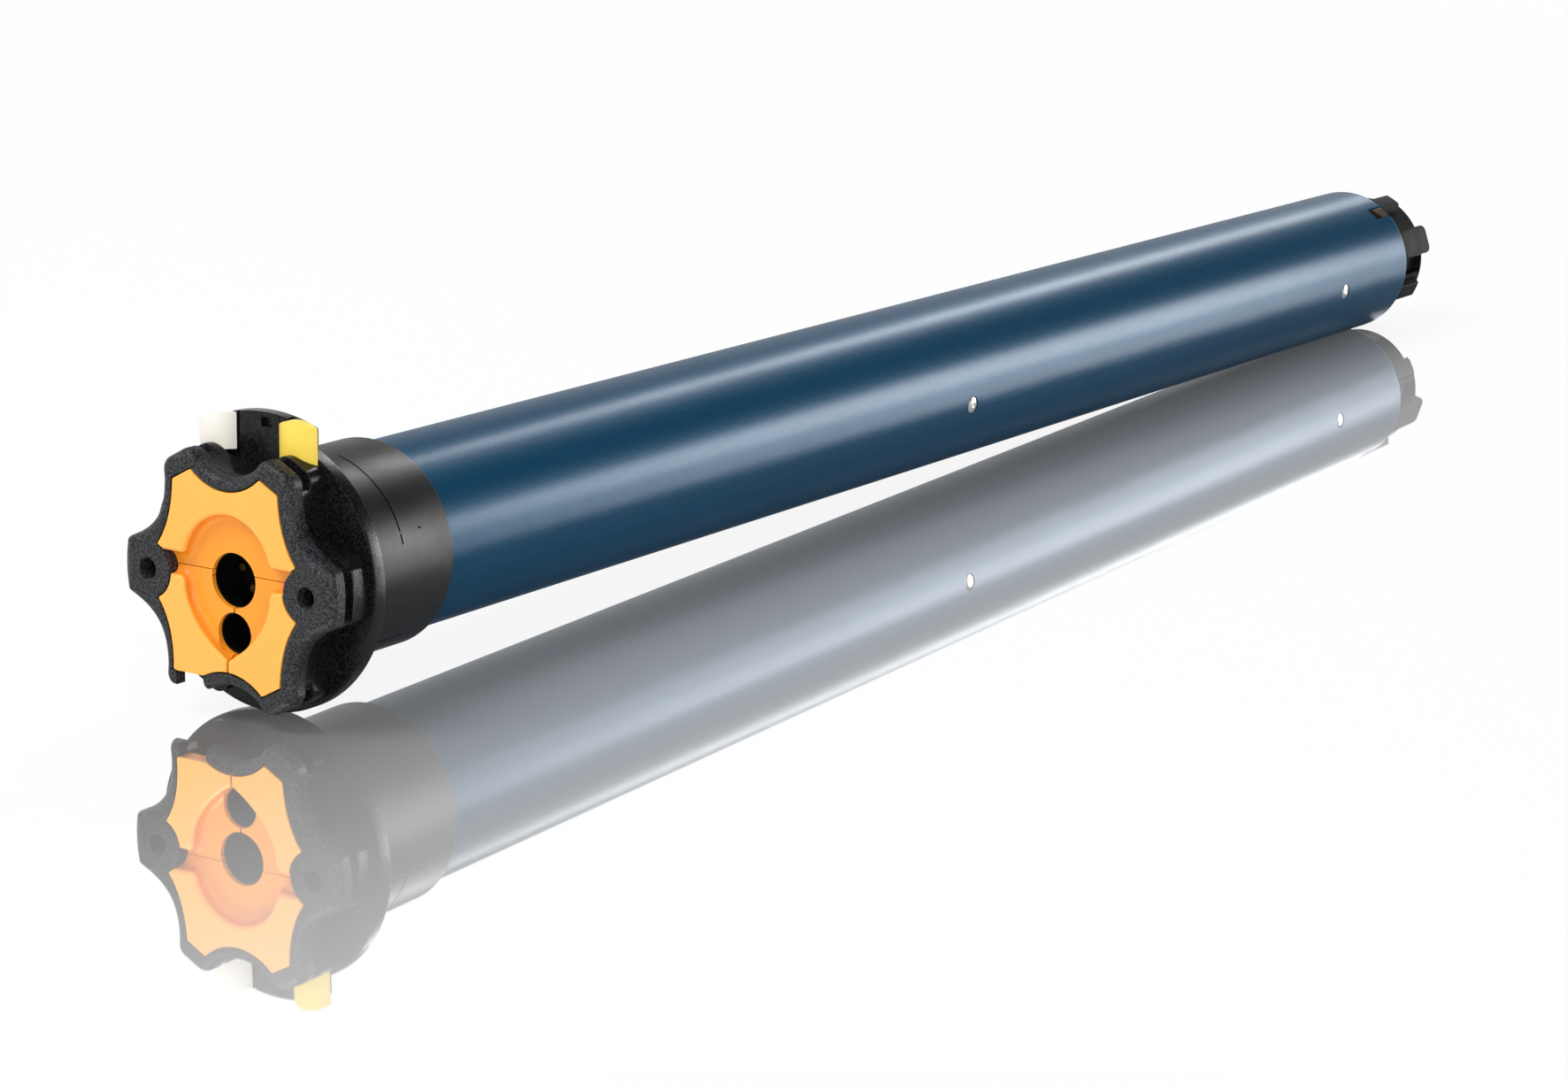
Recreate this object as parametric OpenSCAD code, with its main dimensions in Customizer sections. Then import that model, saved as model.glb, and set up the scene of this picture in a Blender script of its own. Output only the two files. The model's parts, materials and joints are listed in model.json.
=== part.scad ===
// Tubular motor for a roller blind: star head, driven crown, motor tube and output drive.
// Millimetres. The origin is the middle of the head's front face, +Y runs down the tube, +Z is up.

/* [Motor tube] */
// Outside diameter of the motor tube
tube_d = 47.3; // [46.8:0.1:48]
// Wall of the motor tube
tube_wall = 1.2; // [1:0.1:1.5]
// Front end of the tube, behind the face of the head
tube_start = 27; // [26.5:0.5:29]
// Far end of the tube, behind the face of the head
tube_end = 585.5; // [575:0.5:640]

/* [Head] */
// Distance between the two fixing holes
hole_spacing = 48; // [47:0.5:49]
// Radius of the fixing holes
hole_r = 2.5; // [2:0.1:2.8]
// Depth of the star in front of the flange
star_depth = 13.3; // [13:0.1:14.5]
// Radius of the outer ends of the two ears
ear_reach = 31.9; // [31.4:0.1:32.4]
// Angle of an ear's corners above the line of the ears
ear_angle = 11.6; // [11:0.1:12.2]
// Outer radius of the four lobes
lobe_r = 33; // [32.6:0.1:33.6]
// Angle of the middle of a lobe above the line of the ears
lobe_angle = 61.5; // [60:0.5:63]
// Least radius of the top and bottom valleys
valley_r = 24.9; // [24.4:0.1:25.4]
// Radius of the round front edge of the star
edge_r = 2.4; // [1:0.1:2.8]
// Radius of the flange
flange_r = 33.7; // [33.4:0.1:35]
// Thickness of the flange
flange_t = 4; // [3.5:0.1:5]
// Radius of the raised sector that carries the buttons
sector_r = 38.3; // [37.6:0.1:39]
// Depth of the cavity behind the cover
cavity_depth = 9; // [8.6:0.1:9.2]
// Depth of the groove for the spring ring
groove_depth = 2.8; // [1.5:0.1:3]

/* [Cover] */
// Radius at the corners of a cover lobe
cover_lobe_r = 27.7; // [27.2:0.1:28]
// Least radius of the cover in the top valley
cover_valley_r = 21.5; // [21:0.1:21.7]
// Thickness of the cover
cover_t = 4.2; // [4:0.1:4.6]
// Depth of the recess round the holes of the cover
cover_recess = 3; // [2:0.1:3.4]
// Radius of the plug opening
plug_hole_r = 6.5; // [6:0.1:6.8]
// Radius of the small opening under it
setting_hole_r = 4.8; // [4.2:0.1:5]
// Distance from the plug opening down to the small one
setting_drop = 12.7; // [12.4:0.1:13.2]
// Radius of the arch over the plug opening
arch_r = 12.9; // [12:0.1:13.2]

/* [Buttons] */
// Width of a push button
button_w = 11.5; // [11:0.1:12]
// Height of the white push button
button_h = 8.8; // [8.4:0.1:9.2]
// Underside of a raised button
button_z = 28.6; // [28.3:0.1:29]
// Travel of a push button
button_travel = 3; // [2:0.1:3.2]
// How much lower the yellow button stands at rest
button_offset = 1; // [0.6:0.1:1.2]

/* [Crown] */
// Wall of the crown round the tube, with its clearance
crown_wall = 1.95; // [1.7:0.05:2.8]
// Far end of the crown
crown_end = 52.6; // [50:0.1:56]

/* [Motor] */
// Length of the laminated stack
stack_len = 100; // [80:1:104]
// Radius of the rotor
rotor_r = 12.8; // [11:0.1:13]
// Air gap between rotor and stator
air_gap = 0.4; // [0.3:0.05:0.6]
// Radius of the rotor shaft
rotor_shaft_r = 3.5; // [3:0.1:3.6]
// Diameter of the capacitor
capacitor_d = 35; // [30:0.5:36]
// Length of the capacitor
capacitor_len = 72; // [60:1:78]

/* [Gearbox] */
// Least wall of the ring gear, outside its teeth
ring_wall = 1.2375; // [1:0.0125:1.6]
// Radius of the output shaft
output_r = 10; // [8:0.1:11]
// Reach of the output drive beyond the tube
drive_reach = 19.5; // [17:0.1:22]
// How far the lugs stay below the surface of the tube
lug_step = 0.05; // [0:0.05:0.6]
// Width of a wide drive lug
lug_w = 9.7; // [8:0.1:10.5]
// Reach of the narrow lugs beyond the tube
small_lug_reach = 12; // [10:0.1:14]

/* [Hidden] */

$fn = 96;

// Clearances
seat_gap = 0.3;
run_gap = 0.05;
slip_gap = 0.1;
gear_gap = 0.5;
eps = 0.01;

// Tube and head
tube_r = tube_d / 2;
bore_r = tube_r - tube_wall;
fit_r = bore_r - slip_gap;
flange_end = star_depth + flange_t;
spigot_end = tube_start + 20;
hole_x = hole_spacing / 2;

// Far end, measured back from the end of the tube
cap_len = 10.5;
end_housing_len = 46.5;
ring_gear_len = 78;
brake_len = 26;
rear_shield_len = 18;
front_shield_len = 20;
lug_r = tube_r - lug_step;
cap_y = tube_end - cap_len;
end_housing_y = cap_y - end_housing_len;
ring_gear_y = end_housing_y - ring_gear_len;
brake_y = ring_gear_y - brake_len;
rear_shield_y = brake_y - rear_shield_len;
stator_y = rear_shield_y - stack_len;
front_shield_y = stator_y - front_shield_len;

// Teeth, in modules beyond and below the pitch circle, and the play between them
tooth_add = 0.85;
tooth_ded = 1.15;
backlash = 0.16;

// Crown drive
crown_teeth = 62;
pinion_teeth = 12;
crown_r = tube_r + crown_wall;
crown_gear_y = flange_end + 1.3;
crown_gear_end = tube_start - 1.8;
crown_m = (tube_r - 0.4) * 2 / crown_teeth;
pinion_x = crown_m * (crown_teeth - pinion_teeth) / 2;
pinion_shaft_r = 1.5;
spigot_bore_r = pinion_x - crown_m * (pinion_teeth / 2 + 1);
spigot_front_r = crown_m * (crown_teeth / 2 - 1) - 0.4;

// Limit switch unit
cam_teeth = 63;
cam_module = pinion_x * 2 / (cam_teeth + pinion_teeth);
limit_y = spigot_end + 1.5;
limit_len = 77;
cam_gear_y = limit_y + 5.5;
cam_gear_w = 5.4;
cam_y = [limit_y + 17, limit_y + 29];
cam_w = 6;
cam_r = fit_r - 10.75;
cam_shaft_r = 3;
holder_y = limit_y + limit_len + 4;

// Gearbox
sun_teeth = 12;
planet_teeth = 21;
ring_teeth = sun_teeth + 2 * planet_teeth;
gear_module = (fit_r - ring_wall) / (ring_teeth / 2 + tooth_ded);
planet_x = gear_module * (sun_teeth + planet_teeth) / 2;
planet_pin_r = 3;
plate_r = gear_module * (ring_teeth / 2 - 1) - 0.7;
planet_w = [12, 16, 22];
plate_t = [4, 5, 7];
gear_entry = 3.5;

// Notch and key at the far end, as angles from the line of the ears
notch_from = 46;
notch_to = 57.5;
key_margin = 1;

// Places of the rivets
rivet_angle = -6;
head_rivets = [90, 210, 330];
rivet_y = [front_shield_y + 9.5, end_housing_y + 9.5];
head_rivet_y = tube_start + 14;
rivet_head_r = 2.5;
rivet_shank_r = 1.5;
rivet_from = fit_r - 4.85;
rivet_reach = tube_r + 6.35;

// Buttons
white_x = -13;
yellow_x = 11.4;
button_front = 10;
button_back = 15.8;
button_depth = star_depth - button_front;
button_round = (button_w * button_w / 4 + button_depth * button_depth) / 2 / button_depth;
tongue_w = 5;
tongue_shift = 1.1;
sector_left = white_x - 4.2;
sector_right = yellow_x + 2.8;
stem_y = 13.2;
stem_r = 1.3;
spring_r = 2.3;
spring_wire = 0.35;
spring_turns = 5;
spring_seat_z = button_z - 10.6;

// Pitch length of one gear stage after another
function stage_y(i) = i == 0 ? ring_gear_y + gear_entry : plate_end(i - 1) + gear_gap;
function planet_end(i) = stage_y(i) + planet_w[i];
function plate_y(i) = planet_end(i) + gear_gap;
function plate_end(i) = plate_y(i) + plate_t[i];

// Plane curves and outlines, as [x, z] seen from the front
function unit(v) = v / norm(v);
function side_normal(a, b) = let (d = unit(b - a)) [d[1], -d[0]];
function pushed(pts, i, t) = let (
    n = len(pts),
    before = side_normal(pts[(i + n - 1) % n], pts[i]),
    after = side_normal(pts[i], pts[(i + 1) % n]),
    middle = unit(before + after))
    pts[i] + middle * t / max(0.6, middle * before);
function grown(pts, t) = [for (i = [0 : len(pts) - 1]) pushed(pts, i, t)];
function polar(r, a) = [r * cos(a), r * sin(a)];
function arc(c, r, from, to, n) = [for (i = [0 : n]) c + polar(r, from + (to - from) * i / n)];
function bezier(a, b, c, d, n) = [for (i = [0 : n]) let (t = i / n, s = 1 - t)
    s * s * s * a + 3 * s * s * t * b + 3 * s * t * t * c + t * t * t * d];
function turned_by(v, a) = [v[0] * cos(a) - v[1] * sin(a), v[0] * sin(a) + v[1] * cos(a)];
function fillet(a, corner, b, r, n) = let (
    u = unit(a - corner),
    v = unit(b - corner),
    half = acos(u * v) / 2,
    centre = corner + unit(u + v) * r / sin(half),
    s = corner + u * r / tan(half) - centre,
    e = corner + v * r / tan(half) - centre,
    swing = atan2(s[0] * e[1] - s[1] * e[0], s * e))
    [for (i = [0 : n]) centre + turned_by(s, swing * i / n)];
function softened(a, corner, b, r, n) = let (
    p = corner + unit(a - corner) * r,
    q = corner + unit(b - corner) * r)
    [for (i = [0 : n]) let (t = i / n, s = 1 - t) s * s * p + 2 * s * t * corner + t * t * q];
function four_fold(q) = let (n = len(q)) concat(
    q,
    [for (i = [n - 2 : -1 : 0]) [-q[i][0], q[i][1]]],
    [for (i = [0 : n - 1]) -q[i]],
    [for (i = [n - 2 : -1 : 0]) [q[i][0], -q[i][1]]]);
function sector(r, from, to, n) = concat([[0, 0]], arc([0, 0], r, from, to, n));

// Outline of the black star
lobe_half = 8.5;
lobe_side = polar(lobe_r, lobe_angle - lobe_half);
lobe_top = polar(lobe_r, lobe_angle + lobe_half);
lobe_mid = polar(lobe_r, lobe_angle);
valley_z = (lobe_top * lobe_top - valley_r * valley_r) / (2 * (lobe_top[1] - valley_r));
valley_arc_r = valley_z - valley_r;
valley_side = atan2(lobe_top[1] - valley_z, lobe_top[0]);
lobe_soft = 3.4;
flank = lobe_side + [-0.5, -3.2];
ear_corner = polar(ear_reach, ear_angle);
ear_shoulder = [ear_corner[0] - 8.5, 9.9];
valley_rise = [0, valley_z] + polar(valley_arc_r, valley_side - 18);
ear_flank = bezier(ear_corner, ear_shoulder, [flank[0] - 0.1, 13.5], flank, 9);
star_quadrant = concat(
    arc([0, 0], ear_reach, 3, ear_angle - 4, 1),
    fillet(polar(ear_reach, ear_angle - 4), ear_corner, ear_flank[1], 2.5, 4),
    [for (i = [1 : 9]) ear_flank[i]],
    fillet(flank, lobe_side, lobe_top, lobe_soft, 5),
    fillet(lobe_side, lobe_top, valley_rise, lobe_soft, 5),
    arc([0, valley_z], valley_arc_r, valley_side - 18, -90, 7));
star = four_fold(star_quadrant);

// Outline of the whole cover
cover_half = 6.5;
bite_r = 7.1;
bite_end = acos(3 / bite_r);
cover_side = polar(cover_lobe_r, lobe_angle - cover_half);
cover_top = polar(cover_lobe_r, lobe_angle + cover_half);
cover_tip = [hole_x, 0] + polar(bite_r, 180 - bite_end);
cover_valley_z = (cover_top * cover_top - cover_valley_r * cover_valley_r)
    / (2 * (cover_top[1] - cover_valley_r));
cover_arc_r = cover_valley_z - cover_valley_r;
cover_arc_side = atan2(cover_top[1] - cover_valley_z, cover_top[0]);
function cover_quadrant(corner) = concat(
    arc([hole_x, 0], bite_r, 174, 188 - bite_end, 5),
    bezier(cover_tip, cover_tip + [-2.4, 3], [cover_side[0] + 0.3, 14.5], corner, 8),
    arc([0, cover_valley_z], cover_arc_r, cover_arc_side, -90, 8));
cover_low_corner = [16.6, 23.1];
cover_star = let (q = cover_quadrant(cover_side), n = len(q)) concat(
    q,
    [for (i = [n - 2 : -1 : 0]) [-q[i][0], q[i][1]]],
    [for (p = cover_quadrant(cover_low_corner)) -p],
    [for (i = [n - 2 : -1 : 0]) [q[i][0], -q[i][1]]]);
seam_z = 1.9;
seam_gap = 0.2;
cable_chord_z = -23.3;
cable_left = -15.6;
cable_right = -7.3;
cable_step_y = 3;
lobe_end_z = -26.8;
plug_well_r = plug_hole_r + 0.7;
setting_well_r = setting_hole_r + 0.5;
well_end = 15.7;

// Teeth of a spur gear, one tooth centred on angle 0
function roll(r, base) = r <= base ? 0 : sqrt(pow(r / base, 2) - 1) * 180 / PI - acos(base / r);
function half_tooth(r, z, m, backlash) = let (pitch = m * z / 2, base = pitch * cos(20))
    90 / z - backlash / 2 / pitch * 180 / PI + roll(pitch, base) - roll(r, base);
function gear_teeth(z, m, add, ded, backlash) = let (
    root = m * (z / 2 - ded),
    tip = m * (z / 2 + add),
    steps = [for (k = [0 : 3]) root + (tip - root) * k / 3])
    [for (i = [0 : z - 1]) each concat(
        [for (k = [0 : 3]) polar(steps[k], i * 360 / z - half_tooth(steps[k], z, m, backlash))],
        [for (k = [3 : -1 : 0]) polar(steps[k], i * 360 / z + half_tooth(steps[k], z, m, backlash))])];

// A plate between two distances behind the face
module slab(y0, y1) {
    translate([0, y1, 0]) rotate([90, 0, 0]) linear_extrude(y1 - y0) children();
}

// A body turned about the axis of the tube, from [radius, y] points
module turned(pts) {
    rotate([-90, 0, 0]) rotate_extrude() polygon(pts);
}

// A round rod or hole along the tube at [x, z]
module rod(r, y0, y1, at = [0, 0]) {
    translate([at[0], y0, at[1]]) rotate([-90, 0, 0]) cylinder(r = r, h = y1 - y0);
}

// A round rod or hole that points outwards at an angle
module spoke(r, from, to, y, angle) {
    translate([0, y, 0]) rotate([0, -angle, 0]) translate([from, 0, 0])
        rotate([0, 90, 0]) cylinder(r = r, h = to - from);
}

// A body whose outline grows or shrinks from ring to ring of [y, growth].
// The hub is a point inside from which the whole outline is in sight.
module lofted(pts, rings, hub) {
    n = len(pts);
    last = len(rings) - 1;
    outline = [for (r = rings) for (p = grown(pts, r[1])) [p[0], r[0], p[1]]];
    hubs = [[hub[0], rings[0][0], hub[1]], [hub[0], rings[last][0], hub[1]]];
    first_hub = n * (last + 1);
    front = [for (i = [0 : n - 1]) [first_hub, (i + 1) % n, i]];
    back = [for (i = [0 : n - 1]) [first_hub + 1, last * n + i, last * n + (i + 1) % n]];
    sides = [for (j = [0 : last - 1]) for (i = [0 : n - 1]) let (
        a = j * n + i,
        b = j * n + (i + 1) % n) each [[a, b, b + n], [a, b + n, a + n]]];
    polyhedron(concat(outline, hubs), concat(front, back, sides), convexity = 8);
}

// A ring between two radii
module ring(inner, outer, y0, y1) {
    turned([[inner, y0], [outer, y0], [outer, y1], [inner, y1]]);
}

// A piece of a ring between two angles
module ring_sector(inner, outer, from, to, y0, y1) {
    intersection() {
        ring(inner, outer, y0, y1);
        slab(y0 - 1, y1 + 1) polygon(sector(outer * 2, from, to, 6));
    }
}

// A spur gear with its bore, turned so that a tooth points to an angle
module spur_gear(z, m, y0, y1, at = [0, 0], phase = 0) {
    translate([at[0], 0, at[1]]) slab(y0, y1)
        rotate(phase) polygon(gear_teeth(z, m, tooth_add, tooth_ded, backlash));
}

// The spaces of an internal gear
module ring_gear_spaces(z, m, y0, y1, phase = 0) {
    slab(y0, y1) rotate(phase) polygon(gear_teeth(z, m, tooth_ded, tooth_add, -backlash));
}

// Body of the head: star, flange, raised sector and the spigot that plugs into the tube
module head_housing() {
    color([0.14, 0.15, 0.17]) difference() {
        union() {
            head_star();
            head_flange();
            turned([[0, flange_end - 1], [spigot_front_r, flange_end - 1],
                [spigot_front_r, tube_start - seat_gap], [tube_r, tube_start - seat_gap],
                [tube_r, tube_start], [fit_r, tube_start], [fit_r, spigot_end - 1],
                [fit_r - 1, spigot_end], [0, spigot_end]]);
        }
        head_hollows();
        cable_exit();
        button_pocket(white_x, button_z, 1);
        button_pocket(yellow_x, button_z - button_offset, -1);
        crown_pinion_room();
        seal_groove();
        for (a = head_rivets) spoke(rivet_shank_r + run_gap, rivet_from - 1.5, rivet_reach, head_rivet_y, a);
    }
}

module head_star() {
    difference() {
        lofted(star, [[0, -edge_r], [0.35, -edge_r * 0.5], [0.9, -edge_r * 0.22],
            [edge_r, 0], [star_depth, 0]], [0, 0]);
        ring(lobe_r - groove_depth, lobe_r + 10, 5, 7.8);
    }
}

module head_flange() {
    turned([[0, star_depth], [flange_r - 0.5, star_depth], [flange_r, star_depth + 0.5],
        [flange_r, flange_end - 0.5], [flange_r - 0.5, flange_end], [0, flange_end]]);
    intersection() {
        rod(sector_r, star_depth, flange_end);
        translate([sector_left, 0, 20]) cube([sector_right - sector_left, flange_end + 1, 30]);
    }
}

module head_hollows() {
    slab(-1, cavity_depth) polygon(grown(cover_star, seat_gap));
    rod(plug_well_r + seat_gap, cavity_depth - 1, well_end + seat_gap);
    rod(setting_well_r + seat_gap, cavity_depth - 1, well_end + seat_gap, [0, -setting_drop]);
    for (side = [-1, 1]) rod(hole_r, -1, flange_end - 2, [side * hole_x, 0]);
    rod(spigot_bore_r, well_end + 3.3, spigot_end + 1);
    translate([0.1, star_depth - 1, sector_r - 3.4]) cube([3.2, 2.4, 2.3]);
    translate([-5, 3.4, valley_r - 0.9]) cube([10, 0.5, 3]);
}

// The way out of the supply lead: down through the rim and to the side behind the short lobe
module cable_exit() {
    depth = cavity_depth + 1.5;
    top = cable_chord_z - 0.6;
    translate([cable_left, -1, top - 20]) cube([cable_right - cable_left, depth + 1, 20]);
    translate([cable_left - 20, cable_step_y, top - 20]) cube([20.5, depth - cable_step_y, 20]);
    translate([cable_left - 20, -1, lobe_end_z - 20]) cube([20.5, depth + 1, 20]);
}

// Room for one button, its stem and its spring
module button_pocket(x, z, side) {
    floor_z = z - button_travel - seat_gap;
    intersection() {
        translate([x, button_front + button_round, floor_z])
            cylinder(r = button_round + seat_gap, h = 30);
        translate([x - 10, 0, floor_z - 1]) cube([20, star_depth + eps, 40]);
    }
    translate([x + side * tongue_shift - tongue_w / 2 - seat_gap, star_depth - 1, floor_z])
        cube([tongue_w + 2 * seat_gap, button_back + seat_gap - star_depth + 1, 30]);
    translate([x, stem_y, spring_seat_z - button_offset])
        cylinder(r = spring_r + spring_wire + seat_gap, h = z - spring_seat_z + button_offset);
    translate([x, stem_y, spring_seat_z - 7]) cylinder(r = stem_r + run_gap, h = 12);
}

module crown_pinion_room() {
    rod(crown_m * (pinion_teeth / 2 + 1) + 0.4, crown_gear_y - 0.4, tube_start - 1.4, [0, -pinion_x]);
    rod(pinion_shaft_r + run_gap, tube_start - 2, spigot_end + 1, [0, -pinion_x]);
}

seal_y = tube_start + 5;
seal_r = 0.8;
module seal_groove() {
    ring(bore_r - 2 * seal_r - 0.1, fit_r + 1, seal_y - seal_r - 0.2, seal_y + seal_r + 0.2);
}

// One moulding of the orange cover, kept to its own part of the star
module cover_piece(region, plateau, hub) {
    difference() {
        union() {
            slab(cover_recess, cover_t) intersection() {
                polygon(cover_star);
                polygon(region);
            }
            intersection() {
                lofted(plateau, [[0, -0.35], [0.3, 0], [cover_recess - 1.2, 0.4],
                    [cover_recess - 0.35, 1], [cover_recess, 1.8], [cover_t, 1.8]], hub);
                slab(-1, cover_t - 0.5) intersection() {
                    polygon(cover_star);
                    polygon(region);
                }
            }
        }
        rod(plug_hole_r, -1, cover_t + 1);
        rod(setting_hole_r, -1, cover_t + 1, [0, -setting_drop]);
    }
}

far = 50;
arch_z = 2.9;
plateau_z = 5.1;
cove_r = 1.8;
cove = concat([[0.4, -eps], [0.12, 0.12], [0, 0.4]],
    [for (i = [0 : 5]) [-cove_r + cove_r * cos(i * 18), cover_recess - cove_r + cove_r * sin(i * 18)]]);
module cover_upper() {
    color([0.99, 0.66, 0.25]) difference() {
        slab(0, cover_t) intersection() {
            polygon(cover_star);
            translate([-far, seam_z]) square([2 * far, far]);
        }
        translate([0, 0, arch_z]) turned(concat([[0, -eps]],
            [for (p = cove) [arch_r + p[0], p[1]]], [[0, cover_recess]]));
        translate([far, 0, plateau_z]) rotate([90, 0, -90]) linear_extrude(2 * far)
            polygon(concat([[eps, -far]], [for (p = cove) [-p[1], p[0]]], [[-cover_recess, -far]]));
        rod(plug_hole_r, -1, cover_t + 1);
        for (side = [-1, 1]) rod(bite_r, -1, cover_t + 1, [side * hole_x, 0]);
    }
}

// The pillars at the sides of the channel that runs down from the plug opening
pillar_z = -0.2;
channel_foot = [1, -19.6];
channel_top = [-12.8, -2.6];
pillar_hub = [-30, -30];
left_pillar = concat(
    [[channel_foot[0], -far]],
    bezier(channel_foot, [-7.6, -14.2], [-12.6, -8.2], channel_top, 8),
    softened([channel_top[0], -far], [channel_top[0] - 0.1, pillar_z], [-far, pillar_z], 2, 4),
    [[-far, pillar_z], [-far, -far]]);
function flipped(pts) = [for (i = [len(pts) - 1 : -1 : 0]) [-pts[i][0], pts[i][1]]];

module cover_lower_left() {
    color([0.99, 0.66, 0.25]) cover_piece([[-far, seam_z - seam_gap], [-far, cable_chord_z],
        [-seam_gap, cable_chord_z], [-seam_gap, seam_z - seam_gap]], left_pillar, pillar_hub);
}

module cover_lower_right() {
    color([0.99, 0.66, 0.25]) cover_piece([[seam_gap, -far], [far, -far],
        [far, seam_z - seam_gap], [seam_gap, seam_z - seam_gap]],
        flipped(left_pillar), [-pillar_hub[0], pillar_hub[1]]);
}

// The socket that the supply plug enters, behind the cover
socket_floor = 12.5;
module cable_socket() {
    color([0.09, 0.09, 0.1]) difference() {
        union() {
            slab(cover_t, cavity_depth) polygon(grown(cover_star, -0.6));
            rod(plug_well_r, cavity_depth - 0.5, well_end);
            rod(setting_well_r, cavity_depth - 0.5, well_end, [0, -setting_drop]);
        }
        rod(plug_hole_r - 0.2, cover_t - 1, socket_floor);
        rod(setting_hole_r - 0.2, cover_t - 1, socket_floor, [0, -setting_drop]);
        for (p = contact_places) rod(contact_r + run_gap, socket_floor - 1, well_end + 1.3, p);
        translate([cable_left - 1, cover_t - 1, -far])
            cube([cable_right - cable_left + 2, far, far + cable_chord_z + 3]);
    }
}

contact_r = 0.9;
contact_places = [[-3, 1.5], [3, 1.5], [0, -3.2]];
module socket_contacts() {
    color([0.8, 0.62, 0.3]) for (p = contact_places) rod(contact_r, socket_floor - 3, well_end, p);
}

// A push button: round front, domed top, a tongue into the wall behind it and a stem below
module push_button(x, z, side, crest, crest_r) {
    intersection() {
        union() {
            intersection() {
                translate([x, button_front + button_round, z]) cylinder(r = button_round, h = 20);
                translate([x - 10, 0, z - 1]) cube([20, star_depth - slip_gap, 30]);
            }
            translate([x + side * tongue_shift - tongue_w / 2, stem_y - 1, z])
                cube([tongue_w, button_back - stem_y + 1, 20]);
        }
        rod(crest_r, 0, 30, [crest[0], crest[1] - crest_r]);
    }
    translate([x, stem_y, spring_seat_z - 3]) cylinder(r = stem_r, h = z + 1 - spring_seat_z + 3);
}

white_crest = [-9.5, button_z + button_h];
yellow_crest = [11.9, button_z + button_h + 0.5];
module white_button() {
    color([0.97, 0.95, 0.9]) push_button(white_x, button_z, 1, white_crest, 12);
}

module yellow_button() {
    color([1, 0.82, 0.2]) push_button(yellow_x, button_z - button_offset, -1, yellow_crest, 9.5);
}

// A wound compression spring that stands on its seat
module button_spring(x, z) {
    low = spring_seat_z - button_offset + spring_wire;
    high = z - spring_wire - 0.05;
    steps = 14;
    n = spring_turns * steps;
    sides = 6;
    verts = [for (i = [0 : n]) for (k = [0 : sides - 1])
        let (turn = i * 360 / steps, around = k * 360 / sides, r = spring_r + spring_wire * cos(around))
        [x + r * cos(turn), stem_y + r * sin(turn),
            low + (high - low) * i / n + spring_wire * sin(around)]];
    skin = [for (i = [0 : n - 1]) for (k = [0 : sides - 1])
        let (a = i * sides + k, b = i * sides + (k + 1) % sides)
        each [[a, b, b + sides], [a, b + sides, a + sides]]];
    start = [[for (k = [0 : sides - 1]) sides - 1 - k]];
    finish = [[for (k = [0 : sides - 1]) n * sides + k]];
    polyhedron(verts, concat(start, finish, skin), convexity = 10);
}

module white_button_spring() {
    color([0.75, 0.76, 0.78]) button_spring(white_x, button_z);
}

module yellow_button_spring() {
    color([0.75, 0.76, 0.78]) button_spring(yellow_x, button_z - button_offset);
}

// The crown that the blind's roller turns, with an internal gear near the flange
line_depth = 0.25;
module crown() {
    lip_r = crown_m * (crown_teeth / 2 - 0.85);
    bore = tube_r + seat_gap;
    color([0.13, 0.14, 0.15]) difference() {
        turned([[lip_r, flange_end + seat_gap], [crown_r - 0.4, flange_end + seat_gap],
            [crown_r, flange_end + seat_gap + 0.4], [crown_r, crown_end - 0.6],
            [crown_r - 0.6, crown_end], [bore, crown_end], [bore, crown_gear_end],
            [lip_r, crown_gear_end]]);
        ring_gear_spaces(crown_teeth, crown_m, crown_gear_y - 0.6, crown_gear_end + 1, 270);
        ring_sector(crown_r - line_depth, crown_r + 1, 8, 72, flange_end + 6.9, flange_end + 7.3);
        for (a = [8, 276]) ring_sector(crown_r - line_depth, crown_r + 1, a, a + 0.8,
            flange_end, flange_end + 26);
    }
}

// The pinion that the crown turns, on a long shaft into the limit switch unit
module crown_pinion() {
    color([0.85, 0.83, 0.78]) {
        spur_gear(pinion_teeth, crown_m, crown_gear_y, crown_gear_end - 0.2, [0, -pinion_x], 270);
        rod(pinion_shaft_r, crown_gear_y, cam_gear_y + cam_gear_w + 4, [0, -pinion_x]);
        spur_gear(pinion_teeth, cam_module, cam_gear_y, cam_gear_y + cam_gear_w, [0, -pinion_x], 270);
    }
}

// The cam shaft with its gear and one cam for each end of the travel
module cam_shaft() {
    color([0.92, 0.9, 0.85]) {
        spur_gear(cam_teeth, cam_module, cam_gear_y, cam_gear_y + cam_gear_w, [0, 0],
            270 + 180 / cam_teeth);
        rod(cam_shaft_r, limit_y + 0.5, limit_y + limit_len - 1);
        for (i = [0, 1]) difference() {
            rod(cam_r, cam_y[i], cam_y[i] + cam_w);
            slab(cam_y[i] - 1, cam_y[i] + cam_w + 1) polygon([for (k = [0 : 6])
                polar(k == 0 ? cam_r - 2 : cam_r + 2, 60 + i * 100 + k * 6)]);
        }
    }
}

// The frame of the limit switch unit: two end walls and a trough
module limit_switch_housing() {
    wall = 3;
    color([0.2, 0.22, 0.26]) difference() {
        union() {
            rod(fit_r, limit_y, limit_y + wall);
            rod(fit_r, limit_y + limit_len - wall, limit_y + limit_len);
            difference() {
                ring(fit_r - 2, fit_r, limit_y, limit_y + limit_len);
                slab(limit_y + wall, limit_y + limit_len - wall)
                    polygon(sector(far, 200, 340, 12));
                slab(limit_y + wall, limit_y + limit_len - wall)
                    polygon(sector(far, 60, 120, 8));
            }
        }
        rod(cam_shaft_r + run_gap, limit_y - 1, limit_y + limit_len + 1);
        rod(pinion_shaft_r + run_gap, limit_y - 1, limit_y + wall + 1, [0, -pinion_x]);
    }
}

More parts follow.
